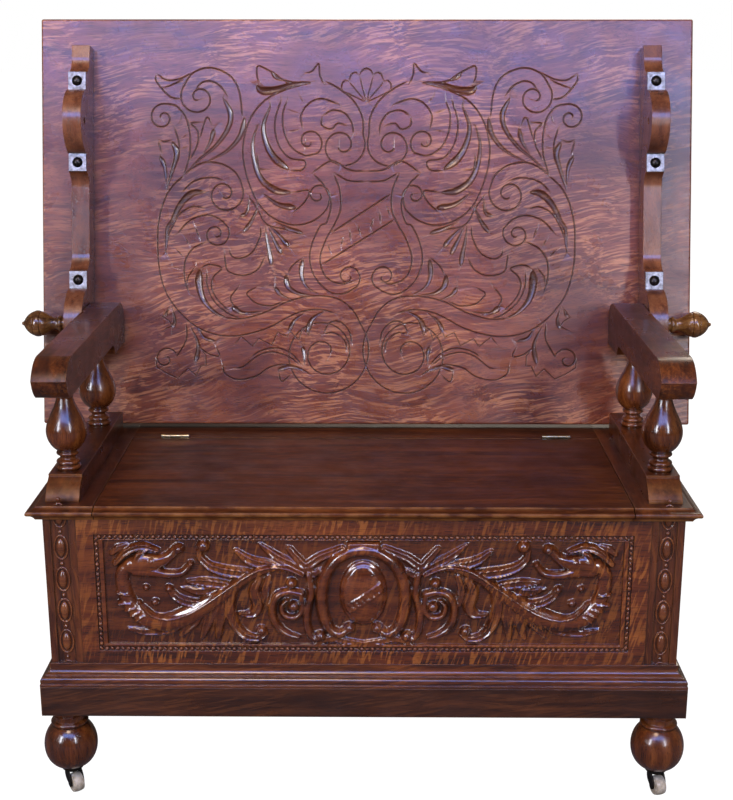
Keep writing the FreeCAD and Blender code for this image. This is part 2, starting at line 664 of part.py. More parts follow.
def plinth():
    """Front, back and right-hand boards of the plinth frame."""
    z0, z1 = PLINTH_LOW, PLINTH_TOP
    front_bar = box(-PLINTH_HALF, PLINTH_HALF, PLINTH_FRONT, PLINTH_FRONT + PLINTH_THICK, z0, z1)
    side_bar = box(PLINTH_HALF - PLINTH_THICK, PLINTH_HALF, PLINTH_FRONT, PLINTH_BACK, z0, z1)
    front, side = mitred(front_bar, side_bar, PLINTH_HALF, PLINTH_FRONT, PLINTH_BACK)
    inside = PLINTH_HALF - PLINTH_THICK
    back = box(-inside, inside, PLINTH_BACK - PLINTH_THICK, PLINTH_BACK, z0, z1)
    return front, back, side


def mould_outline():
    """Base moulding in distance out from the carcass and height."""
    out = CARCASS_FRONT - PLINTH_FRONT
    bead = MOULD_TOP - MOULD_FILLET - MOULD_COVE
    return (
        (0, PLINTH_TOP),
        (0, MOULD_TOP),
        (3, MOULD_TOP),
        (3, MOULD_TOP - MOULD_FILLET),
        (4.2, MOULD_TOP - MOULD_FILLET - MOULD_COVE * 0.68, out * 0.55, bead),
        (out * 0.55, bead - 2),
        (out - 0.8, bead - 6.5, out - 2.2, PLINTH_TOP + 5),
        (out, PLINTH_TOP + 4),
        (out, PLINTH_TOP),
    )


def base_moulding():
    """Front and right-hand lengths of the moulding round the foot of the carcass."""
    def placed(base, sign):
        steps = []
        for step in mould_outline():
            steps.append(tuple(v if i % 2 else base + sign * v for i, v in enumerate(step)))
        return steps
    front_bar = along_x(face("yz", *placed(CARCASS_FRONT, -1)), -PLINTH_HALF, PLINTH_HALF)
    side_bar = along_y(face("xz", *placed(CARCASS_HALF, 1)), PLINTH_FRONT, CARCASS_BACK)
    return mitred(front_bar, side_bar, PLINTH_HALF, PLINTH_FRONT, PLINTH_BACK)


# --- Feet and casters ---
def bun_foot():
    """Turned bun: its outline's heights are shares of the foot's own height."""
    def up(share):
        return FOOT_LOW + share * FOOT_HIGH
    return turned(
        (0, FOOT_LOW), (FOOT_LOW_R, FOOT_LOW),
        [(FOOT_BULB_R - 5.5, up(0.15)), (FOOT_BULB_R, up(0.375)), (FOOT_BULB_R - 4, up(0.57)),
         (FOOT_BEAD_R - 1.5, up(0.711))],
        (FOOT_BEAD_R - 3.5, up(0.721)),
        (FOOT_BEAD_R - 2.5, up(0.73)),
        (FOOT_BEAD_R, up(0.763), FOOT_BEAD_R - 2.5, up(0.794)),
        (FOOT_NECK_R, up(0.804)),
        (FOOT_NECK_R + 1, up(0.882), FOOT_FLANGE_R - 1, up(0.961)),
        (FOOT_FLANGE_R, up(0.971)),
        (FOOT_FLANGE_R, PLINTH_LOW),
        (0, PLINTH_LOW),
    )


def caster_cup():
    pin_low = HORN_TOP - HORN_DISC_T
    return turned((0, pin_low), (SWIVEL_PIN_R, pin_low), (SWIVEL_PIN_R, CUP_LOW), (CUP_R - 2, CUP_LOW),
                  (CUP_R - 0.5, CUP_LOW + 0.5, CUP_R, CUP_LOW + 2), (CUP_R, FOOT_LOW), (0, FOOT_LOW))


def caster_horn():
    """Swivelling disc with two cheeks down to the axle, which trails towards -Y."""
    disc = rod(HORN_DISC_R, HORN_DISC_T, Vector(0, 0, HORN_TOP - HORN_DISC_T), Z_AXIS)
    top = HORN_TOP
    eye_y = -CASTER_TRAIL
    cheek = face(
        "yz", (-HORN_DISC_R * 0.6, top), (HORN_DISC_R * 0.6, top),
        (HORN_DISC_R * 0.5, top - HORN_DISC_T - 1),
        (2, WHEEL_R + 4, eye_y + CHEEK_EYE_R, WHEEL_R),
        (eye_y, WHEEL_R - CHEEK_EYE_R, eye_y - CHEEK_EYE_R, WHEEL_R),
        (eye_y - 3, WHEEL_R + 11, -HORN_DISC_R * 0.6, top - HORN_DISC_T),
    )
    horn = disc
    for x0 in (-CHEEK_OUT, CHEEK_IN):
        horn = horn.fuse(along_x(cheek, x0, x0 + CHEEK_T))
    eye = rod(SWIVEL_PIN_R + SWIVEL_FIT, HORN_DISC_T, Vector(0, 0, HORN_TOP - HORN_DISC_T), Z_AXIS)
    horn = horn.cut(eye)
    return horn.cut(rod(AXLE_R, 2 * CHEEK_OUT, Vector(-CHEEK_OUT, eye_y, WHEEL_R), X_AXIS))


def caster_wheel():
    half = WHEEL_WIDE / 2
    tread = turned((WHEEL_BORE_R, -half), (WHEEL_R - 4, -half), (WHEEL_R - 3.5, -half + 0.8),
                   (WHEEL_R - 1.2, -half + 0.8),
                   (WHEEL_R, 0, WHEEL_R - 1.2, half - 0.8),
                   (WHEEL_R - 3.5, half - 0.8), (WHEEL_R - 4, half), (WHEEL_BORE_R, half))
    tread.rotate(Vector(0, 0, 0), Y_AXIS, 90)
    return moved(tread, 0, -CASTER_TRAIL, WHEEL_R)


def caster_axle():
    return rod(AXLE_R, 2 * CHEEK_OUT, Vector(-CHEEK_OUT, -CASTER_TRAIL, WHEEL_R), X_AXIS)


def foot_places():
    for name, side in (("left", -1), ("right", 1)):
        heading = HEAD_LEFT if side < 0 else HEAD_RIGHT
        for row, y in (("front", FOOT_FRONT_Y), ("rear", FOOT_REAR_Y)):
            yield row + "_" + name, side * FOOT_X, y, heading


def at_foot(shape, x, y, heading):
    out = shape.copy()
    out.rotate(Vector(0, 0, 0), Z_AXIS, heading)
    return moved(out, x, y)


# --- Assembly ---
def build():
    """Every node by name, drawn about the seat's lip."""
    nodes = {}

    def pair(name, shape):
        nodes["right_" + name] = shape
        nodes["left_" + name] = mirrored(shape)

    nodes["table_top"] = table_top()
    pair("batten", batten())
    pair("batten_bolts", batten_bolts())
    pair("batten_plates", batten_plates())
    pair("pivot_peg", pivot_peg())
    pair("arm", arm())
    pair("arm_rail", arm_rail())
    pair("front_baluster", baluster(BALUSTER_FRONT_Y))
    pair("rear_baluster", baluster(BALUSTER_REAR_Y))
    pair("seat_end", seat_end())
    nodes["seat_lid"] = seat_lid()
    nodes["seat_rear_rail"] = seat_rear_rail()
    nodes["lid_hinge_rail_leaves"] = group([hinge_leaf(side, 1) for side in (-1, 1)])
    nodes["lid_hinge_lid_leaves"] = group([hinge_leaf(side, -1) for side in (-1, 1)])
    nodes["lid_hinge_pins"] = group([hinge_pin(side) for side in (-1, 1)])
    nodes["lid_hinge_rail_screws"] = group([screw(x, z, 1) for x, z in screw_places()])
    nodes["lid_hinge_lid_screws"] = group([screw(x, z, -1) for x, z in screw_places()])
    pair("front_stile", front_stile())
    pair("rear_stile", rear_stile())
    nodes["front_panel"] = front_panel()
    pair("side_panel", side_panel())
    nodes["back_panel"] = back_panel()
    nodes["chest_floor"] = chest_floor()
    nodes["inner_blocks"] = inner_blocks()
    front, back, side = plinth()
    nodes["plinth_front"] = front
    nodes["plinth_back"] = back
    pair("plinth_side", side)
    front, side = base_moulding()
    nodes["base_moulding_front"] = front
    pair("base_moulding", side)
    cups = []
    for name, x, y, heading in foot_places():
        nodes["bun_foot_" + name] = moved(bun_foot(), x, y)
        cups.append(moved(caster_cup(), x, y))
        nodes["caster_horn_" + name] = at_foot(caster_horn(), x, y, heading)
        nodes["caster_wheel_" + name] = at_foot(caster_wheel(), x, y, heading)
        nodes["caster_axle_" + name] = at_foot(caster_axle(), x, y, heading)
    nodes["caster_cups"] = group(cups)
    return nodes


def main():
    os.makedirs("parts", exist_ok=True)
    for name, shape in build().items():
        placed = moved(shape, 0, -MIDDLE_Y, 0)
        placed.exportStep("parts/" + name + ".step")
        print(name, "solids", len(placed.Solids), "valid", placed.isValid())


main()
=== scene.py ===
# %% [markdown]
# # An oak monk's bench, dressed around its working model
# The bench is a chest with a lift-up seat, turned arm posts and a tall board that tips
# forward over the arms to make a table. The frame that is loaded here already has every
# piece at its real size, with its joints. This lesson gives the pieces their finish and
# carves what a carver would have carved: the board, the chest's front and its corner posts.

# %% Load the working model
import math

import bmesh
import bpy
import numpy as np
from mathutils import Euler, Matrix, Vector, geometry, kdtree


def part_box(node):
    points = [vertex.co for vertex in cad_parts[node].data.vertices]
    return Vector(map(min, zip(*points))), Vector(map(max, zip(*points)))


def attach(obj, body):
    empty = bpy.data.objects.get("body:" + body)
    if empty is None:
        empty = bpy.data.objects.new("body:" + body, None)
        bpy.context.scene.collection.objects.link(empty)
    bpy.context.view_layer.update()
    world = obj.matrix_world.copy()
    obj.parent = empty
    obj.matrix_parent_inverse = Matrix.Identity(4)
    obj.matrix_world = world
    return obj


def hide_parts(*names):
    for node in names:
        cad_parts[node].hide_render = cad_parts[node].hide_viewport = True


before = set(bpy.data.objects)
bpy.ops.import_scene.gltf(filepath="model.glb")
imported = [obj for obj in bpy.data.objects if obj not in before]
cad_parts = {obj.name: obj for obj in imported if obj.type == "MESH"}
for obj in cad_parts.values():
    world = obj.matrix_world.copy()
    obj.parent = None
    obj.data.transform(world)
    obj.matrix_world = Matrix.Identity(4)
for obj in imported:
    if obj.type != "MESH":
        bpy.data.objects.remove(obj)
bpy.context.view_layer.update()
MM = 0.001

# %% [markdown]
# ## The camera
# The bench is seen almost square on, from a bit over two metres and from as high as the board's
# top edge, looking down a little. A camera is only a place, a tilt and a lens, so it is made first
# and never moved: every later decision about finish is judged through it.

# %% Camera
def place_in_scene(name, data):
    """An object for the data, linked into the scene."""
    made = bpy.data.objects.new(name, data)
    bpy.context.scene.collection.objects.link(made)
    return made


camera = place_in_scene("camera", bpy.data.cameras.new("camera"))
camera.location = (0.0215, -2.1982, 1.1873)
camera.rotation_euler = Euler((math.radians(90 - 15.61), 0, math.radians(0.5)), "XYZ")
camera.data.lens = 61.43
bpy.context.scene.camera = camera
print("camera lens", camera.data.lens)

# %% [markdown]
# ## Colour and one way to add a node
# Colours are written as the sRGB hex codes a colour picker shows, and turned to the linear
# values that light works with. Every material below is a small graph of nodes, so one helper
# adds a node, sets its options and links its inputs; anything else would be repeated lines.

# %% Helpers for materials
def colour(code):
    """Linear RGBA from an sRGB hex code such as #6b3a20."""
    parts = [int(code[i:i + 2], 16) / 255 for i in (1, 3, 5)]
    return tuple(p / 12.92 if p <= 0.04045 else ((p + 0.055) / 1.055) ** 2.4 for p in parts) + (1.0,)


def add(tree, kind, inputs=None, stops=None, **settings):
    """A node of that kind. inputs maps socket names or numbers to a value, an output or a node,
    which stands for its first output. stops, for a colour ramp, lists (place, hex colour or grey)."""
    made = tree.nodes.new(kind)
    for name, value in settings.items():
        setattr(made, name, value)
    for socket, value in (inputs or {}).items():
        if isinstance(value, bpy.types.Node):
            value = value.outputs[0]
        if isinstance(value, bpy.types.NodeSocket):
            tree.links.new(value, made.inputs[socket])
        else:
            made.inputs[socket].default_value = value
    for number, (place, value) in enumerate(stops or []):
        points = made.color_ramp.elements
        point = points[number] if number < len(points) else points.new(place)
        point.position = place
        point.color = colour(value) if isinstance(value, str) else (value, value, value, 1)
    return made


def new_material(name):
    """An empty material and its tree of nodes."""
    made = bpy.data.materials.new(name)
    made.use_nodes = True
    made.node_tree.nodes.clear()
    return made, made.node_tree

# %% [markdown]
# ## Varnished quartersawn oak
# Oak that is sawn straight towards the heart shows pale wavy flecks, the medullary rays, lying
# across the grain. This bench was stained dark and then varnished to a gloss, so the grain reads
# as near-black pores and bands in red-brown, the rays as lighter orange ripples, and the edges
# that hands have rubbed show more of the wood. One maker's recipe serves every piece, and only
# the way the grain runs, the strength of the rays and the tone change from piece to piece.
# Sizes are the wood's own where they would show. Rays are 5 mm wide and 70 mm long, and on the
# carved front 6 by 40 mm and nearly upright. Pores are drawn 1 mm wide and 22 mm long, about three
# times too coarse, and bands 18 mm wide and 450 mm long, each standing for a few years' growth,
# because real ones would not show from here.

# %% Oak recipe
def oak(name, grain, dark, middle, light, ray, rays=0.6, slant=10, ray_size=(14.0, 210.0),
        flow=(3.0, 0.045), gloss=0.24, worn=0.7, coat=0.3, shine=0.5, front_wear_and_light=0.0, painted_cut_shade=None):
    """Dark varnished oak. grain turns the pattern so that its length runs along local X."""
    made, tree = new_material(name)
    place = add(tree, "ShaderNodeTexCoord").outputs["Object"]
    along = add(tree, "ShaderNodeMapping", {"Vector": place, "Rotation": grain})
    swirl = add(tree, "ShaderNodeTexNoise", {"Vector": along, "Scale": flow[0], "Detail": 2.0})
    wander = add(tree, "ShaderNodeVectorMath", {0: swirl.outputs["Color"], "Scale": flow[1]},
                 operation="SCALE")
    wavy = add(tree, "ShaderNodeVectorMath", {0: along, 1: wander}, operation="ADD")
    # growth bands, drawn out along the grain
    long_bands = add(tree, "ShaderNodeMapping", {"Vector": wavy, "Scale": (2.2, 55.0, 55.0)})
    bands = add(tree, "ShaderNodeTexNoise", {"Vector": long_bands, "Scale": 1.0, "Detail": 5.0,
            "Roughness": 0.62})
    # open pores
    long_pores = add(tree, "ShaderNodeMapping", {"Vector": wavy, "Scale": (45.0, 900.0, 900.0)})
    pores = add(tree, "ShaderNodeTexNoise", {"Vector": long_pores, "Scale": 1.0, "Detail": 2.0})
    pore = add(tree, "ShaderNodeValToRGB", {"Fac": pores}, stops=[(0.34, 1.0), (0.46, 0.0)])
    # rays, lying a little across the grain and coming and going in patches
    tilted = add(tree, "ShaderNodeMapping", {"Vector": wavy, "Rotation": (0, math.radians(slant), 0)})
    turned = add(tree, "ShaderNodeMapping", {"Vector": tilted,
            "Scale": (ray_size[0], ray_size[1], ray_size[1])})
    flecks = add(tree, "ShaderNodeTexNoise", {"Vector": turned, "Scale": 1.0, "Detail": 2.0,
            "Distortion": 0.5})
    fleck = add(tree, "ShaderNodeValToRGB", {"Fac": flecks}, stops=[(0.50, 0.0), (0.60, 1.0)])
    patches = add(tree, "ShaderNodeTexNoise", {"Vector": along, "Scale": 7.0, "Detail": 1.0})
    patch = add(tree, "ShaderNodeValToRGB", {"Fac": patches}, stops=[(0.36, 0.15), (0.60, 1.0)])
    shown = add(tree, "ShaderNodeMath", {0: fleck, 1: patch}, operation="MULTIPLY")
    shown = add(tree, "ShaderNodeMath", {0: shown, 1: rays}, operation="MULTIPLY")
    # colour: bands, rays over them, pores over both
    base = add(tree, "ShaderNodeValToRGB", {"Fac": bands},
               stops=[(0.30, dark), (0.50, middle), (0.72, light)])
    clouds = add(tree, "ShaderNodeTexNoise", {"Vector": place, "Scale": 4.5, "Detail": 3.0})
    tone = add(tree, "ShaderNodeValToRGB", {"Fac": clouds}, stops=[(0.30, 0.62), (0.70, 1.15)])
    mixed = add(tree, "ShaderNodeMix", {0: shown, 6: base, 7: colour(ray)}, data_type="RGBA")
    mixed = add(tree, "ShaderNodeMix", {0: 1.0, 6: mixed.outputs[2], 7: tone}, data_type="RGBA",
                blend_type="MULTIPLY")
    dulled = add(tree, "ShaderNodeMath", {0: pore, 1: 0.55}, operation="MULTIPLY")
    mixed = add(tree, "ShaderNodeMix", {0: dulled, 6: mixed.outputs[2], 7: colour("#1c0d08")},
                data_type="RGBA").outputs[2]
    # worn edges, where the bevelled and the true normals part
    edge = add(tree, "ShaderNodeBevel", {"Radius": 0.0022}, samples=4)
    true = add(tree, "ShaderNodeNewGeometry").outputs["Normal"]
    agree = add(tree, "ShaderNodeVectorMath", {0: edge, 1: true}, operation="DOT_PRODUCT")
    rubbed = add(tree, "ShaderNodeValToRGB", {"Fac": agree.outputs["Value"]},
                 stops=[(0.80, 1.0), (0.985, 0.0)])
    breaks = add(tree, "ShaderNodeTexNoise", {"Vector": place, "Scale": 38.0, "Detail": 4.0})
    broken = add(tree, "ShaderNodeValToRGB", {"Fac": breaks}, stops=[(0.38, 0.1), (0.62, 1.0)])
    wear = add(tree, "ShaderNodeMath", {0: rubbed, 1: broken}, operation="MULTIPLY")
    wear = add(tree, "ShaderNodeMath", {0: wear, 1: worn}, operation="MULTIPLY")
    if front_wear_and_light:      # faces that look forward are lighter: the front edge that legs rub, and painted light falling from the front
        own = add(tree, "ShaderNodeTexCoord").outputs["Normal"]     # stays with the piece when it moves
        ahead = add(tree, "ShaderNodeSeparateXYZ", {0: own}).outputs["Y"]
        forward = add(tree, "ShaderNodeMath", {0: ahead, 1: -1.0}, operation="MULTIPLY")
        facing = add(tree, "ShaderNodeValToRGB", {"Fac": forward}, stops=[(0.35, 0.0), (0.85, front_wear_and_light)])
        leg_wear_and_light = add(tree, "ShaderNodeMath", {0: facing, 1: broken}, operation="MULTIPLY")
        wear = add(tree, "ShaderNodeMath", {0: wear, 1: leg_wear_and_light}, operation="MAXIMUM")
    mixed = add(tree, "ShaderNodeMix", {0: wear, 6: mixed, 7: colour("#8f5a2c")}, data_type="RGBA").outputs[2]
    # painted shade: ambient occlusion darkens corners and hollows
    hollow_shade = add(tree, "ShaderNodeAmbientOcclusion", {"Distance": 0.014}, samples=6)
    corner_shade = add(tree, "ShaderNodeValToRGB", {"Fac": hollow_shade.outputs["AO"]}, stops=[(0.25, 0.32), (0.80, 1.0)])
    mixed = add(tree, "ShaderNodeMix", {0: 1.0, 6: mixed, 7: corner_shade}, data_type="RGBA",
                blend_type="MULTIPLY").outputs[2]
    # painted shade: the cut attribute darkens the inside of the board's cuts and the carved front's ground
    if painted_cut_shade:
        depth = add(tree, "ShaderNodeAttribute", attribute_name="cut").outputs["Fac"]
        shade = add(tree, "ShaderNodeValToRGB", {"Fac": depth}, stops=painted_cut_shade)
        mixed = add(tree, "ShaderNodeMix", {0: 1.0, 6: mixed, 7: shade}, data_type="RGBA",
                    blend_type="MULTIPLY").outputs[2]
    smears = add(tree, "ShaderNodeTexNoise", {"Vector": place, "Scale": 22.0, "Detail": 5.0})
    rough = add(tree, "ShaderNodeMapRange", {"Value": smears, "From Min": 0.3, "From Max": 0.7,
            "To Min": gloss - 0.05, "To Max": gloss + 0.12})
    # relief under the varnish: sunk pores and slightly proud rays
    relief = add(tree, "ShaderNodeMath", {0: pore, 1: -0.6, 2: bands}, operation="MULTIPLY_ADD")
    bump = add(tree, "ShaderNodeBump", {"Strength": 0.25, "Distance": 0.0004, "Height": relief,
            "Normal": edge})
    wood = add(tree, "ShaderNodeBsdfPrincipled", {
        "Base Color": mixed, "Roughness": rough, "IOR": 1.5, "Specular IOR Level": shine, "Coat Weight": coat,
        "Coat Roughness": 0.12, "Normal": bump})
    add(tree, "ShaderNodeOutputMaterial", {"Surface": wood})
    return made


UPRIGHT = (0, math.radians(90), 0)      # grain up and down
DEEP = (0, 0, math.radians(90))         # grain front to back
LEVEL = (0, 0, 0)                       # grain side to side
TONES = dict(dark="#2a1108", middle="#4d230f", light="#733a17", ray="#8f4f20")
oak_level = oak("varnished_oak_level", LEVEL, rays=0.45, **TONES)
oak_deep = oak("varnished_oak_front_to_back", DEEP, rays=0.4, gloss=0.27, coat=0.15, shine=0.32, **TONES)
oak_upright = oak("varnished_oak_upright", UPRIGHT, rays=0.35, **TONES)
oak_turned = oak("polished_turned_oak", UPRIGHT, rays=0.25, gloss=0.16, worn=0.5,
                 dark="#2a120a", middle="#5c2b10", light="#86491c", ray="#96572a")
# the battens get a lighter copy of the frame's oak: painted sheen on their front faces
oak_batten_sheen = oak("varnished_batten_oak_painted_sheen", UPRIGHT, rays=0.35, gloss=0.24, worn=0.8, coat=0.5,
                 dark="#4a2213", middle="#7a4226", light="#995c36", ray="#a86a40")
oak_peg = oak("rubbed_peg_oak", LEVEL, rays=0.4, gloss=0.18, worn=0.7,
              dark="#3d2110", middle="#7a4a20", light="#a36f34", ray="#b07c3e")
SEAT = dict(rays=0.3, worn=0.9, front_wear_and_light=0.7,
            dark="#2e1308", middle="#4e230d", light="#6c3615", ray="#82461d")
oak_seat = oak("varnished_seat_oak", LEVEL, gloss=0.34, coat=0.0, shine=0.14, **SEAT)
oak_seat_end = oak("varnished_seat_end_oak", DEEP, gloss=0.3, coat=0.1, shine=0.25, **SEAT)
oak_board = oak("figured_board_oak", LEVEL, rays=0.75, slant=9, ray_size=(13.0, 230.0), flow=(4.5, 0.085),
                gloss=0.27, worn=0.35, painted_cut_shade=[(0.0, 1.0), (0.5, 0.4), (1.0, 0.45)],
                dark="#5a2a1a", middle="#7b3c25", light="#91502f", ray="#c27d50")
oak_carved = oak("carved_panel_oak", LEVEL, rays=0.7, slant=76, ray_size=(26.0, 170.0), gloss=0.14,
                 worn=0.5, coat=0.7, painted_cut_shade=[(0.0, 1.0), (0.5, 0.85), (1.0, 0.66)],
                 dark="#33150a", middle="#5c2810", light="#7d3f18", ray="#a05a22")
oak_plinth = oak("darkened_plinth_oak", LEVEL, rays=0.35, gloss=0.3, worn=0.6, coat=0.1,
                 dark="#220e07", middle="#3a1c0d", light="#542b14", ray="#6a3b1c")
oak_moulding = oak("polished_moulding_oak", LEVEL, rays=0.3, gloss=0.15, worn=0.9, coat=0.6, **TONES)
# beads and post ovals are a lighter tone: rubbed wear on the proud parts, and a painted highlight
oak_bead_rubbed_and_lit = oak("rubbed_and_highlit_bead_oak", LEVEL, rays=0.0, gloss=0.2, worn=0.7,
               dark="#42200f", middle="#703a1c", light="#8f5328", ray="#8f5328")
print("oaks mixed:", [m.name for m in bpy.data.materials if "oak" in m.name])

# %% [markdown]
# ## Metals and wheels
# The plates under the batten bolts are rolled steel gone grey, the hinges are pale worn brass,
# the casters have dark cast-iron horns, and their wheels are a beige composition of the kind that
# was moulded before plastics. Metals are coloured by their base colour alone, and a fine noise in
# roughness and bump stands for tarnish and casting skin.

# %% Metals and composition
def aged(name, low, high, metallic, rough, grit, dents):
    """A worn surface: two tones by noise, grit patches per metre, dents as bump in metres."""
    made, tree = new_material(name)
    place = add(tree, "ShaderNodeTexCoord").outputs["Object"]
    patches = add(tree, "ShaderNodeTexNoise", {"Vector": place, "Scale": grit, "Detail": 6.0,
            "Roughness": 0.6})
    tint = add(tree, "ShaderNodeValToRGB", {"Fac": patches}, stops=[(0.35, low), (0.65, high)])
    spread = add(tree, "ShaderNodeMapRange", {"Value": patches, "From Min": 0.3, "From Max": 0.7,
            "To Min": rough + 0.1, "To Max": rough - 0.08})
    edge = add(tree, "ShaderNodeBevel", {"Radius": 0.0008}, samples=4)
    fine = add(tree, "ShaderNodeTexNoise", {"Vector": place, "Scale": grit * 6, "Detail": 3.0})
    bump = add(tree, "ShaderNodeBump", {"Strength": 0.5, "Distance": dents, "Height": fine,
            "Normal": edge})
    skin = add(tree, "ShaderNodeBsdfPrincipled", {
        "Base Color": tint, "Roughness": spread, "Metallic": metallic, "Normal": bump})
    add(tree, "ShaderNodeOutputMaterial", {"Surface": skin})
    return made


steel = aged("tarnished_rolled_steel", "#75706e", "#a8a3a2", 1.0, 0.5, 160.0, 0.0002)
bolt_steel = aged("darkened_bolt_steel", "#241f1c", "#4a4542", 1.0, 0.36, 260.0, 0.0002)
brass = aged("worn_pale_brass", "#a08a5c", "#cfc19a", 1.0, 0.34, 220.0, 0.0001)
iron = aged("oiled_cast_iron", "#17130f", "#332a22", 0.85, 0.48, 320.0, 0.0003)
composition = aged("beige_wheel_composition", "#94836a", "#c2b196", 0.0, 0.5, 140.0, 0.0002)
print("metals:", steel.name, bolt_steel.name, brass.name, iron.name, composition.name)

# %% [markdown]
# ## Finish on the plain pieces
# Most pieces are already the right shape. Each one gets the oak whose grain runs along its length,
# as a joiner would have cut it: posts and turnings upright, arms and rails front to back, and boards
# and mouldings side to side.

# %% Paint the frame's own pieces
FINISH = {
    oak_deep: ("arm", "plinth_side", "side_panel"),
    oak_moulding: ("base_moulding",),
    oak_seat_end: ("arm_rail", "seat_end"),
    oak_upright: ("front_stile", "rear_stile"),
    oak_batten_sheen: ("batten",),
    oak_turned: ("front_baluster", "rear_baluster"),
    oak_peg: ("pivot_peg",),
    steel: ("batten_plates",),
    bolt_steel: ("batten_bolts",),
}
painted = {}
for material, names in FINISH.items():
    for name in names:
        painted["left_" + name] = painted["right_" + name] = material
for name in ("front_panel", "back_panel", "chest_floor", "inner_blocks", "plinth_back", "table_top"):
    painted[name] = oak_level
painted["seat_lid"] = painted["seat_rear_rail"] = oak_seat
for name in ("lid_hinge_rail_leaves", "lid_hinge_lid_leaves", "lid_hinge_pins"):
    painted[name] = brass
for name in ("lid_hinge_rail_screws", "lid_hinge_lid_screws"):
    painted[name] = bolt_steel
painted["base_moulding_front"] = oak_moulding
painted["plinth_front"] = oak_plinth
painted["caster_cups"] = iron
for corner in ("front_left", "rear_left", "front_right", "rear_right"):
    painted["bun_foot_" + corner] = oak_turned
    painted["caster_wheel_" + corner] = composition
    painted["caster_horn_" + corner] = painted["caster_axle_" + corner] = iron
for name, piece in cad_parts.items():
    piece.data.materials.clear()
    piece.data.materials.append(painted[name])
print("painted", len(painted), "pieces")

# %% [markdown]
# ## The tip-over board and its incised leaves
# The board is one wide oak top. Its face is cut with two gouges: a fine V tool that draws
# stems and leaf outlines, and a scoop that opens each leaf from a thin root to a wide tip. A bump
# map would look flat at a glancing light, so the cuts are real: every cut lays its own points on
# the face, and a constrained triangulation joins them, dense along the cuts and sparse between.
# The pattern is drawn on the left half in millimetres, x from the middle and s up the board, and
# mirrored to the right. The shield's diagonal band is not mirrored, and it holds plain ticks.

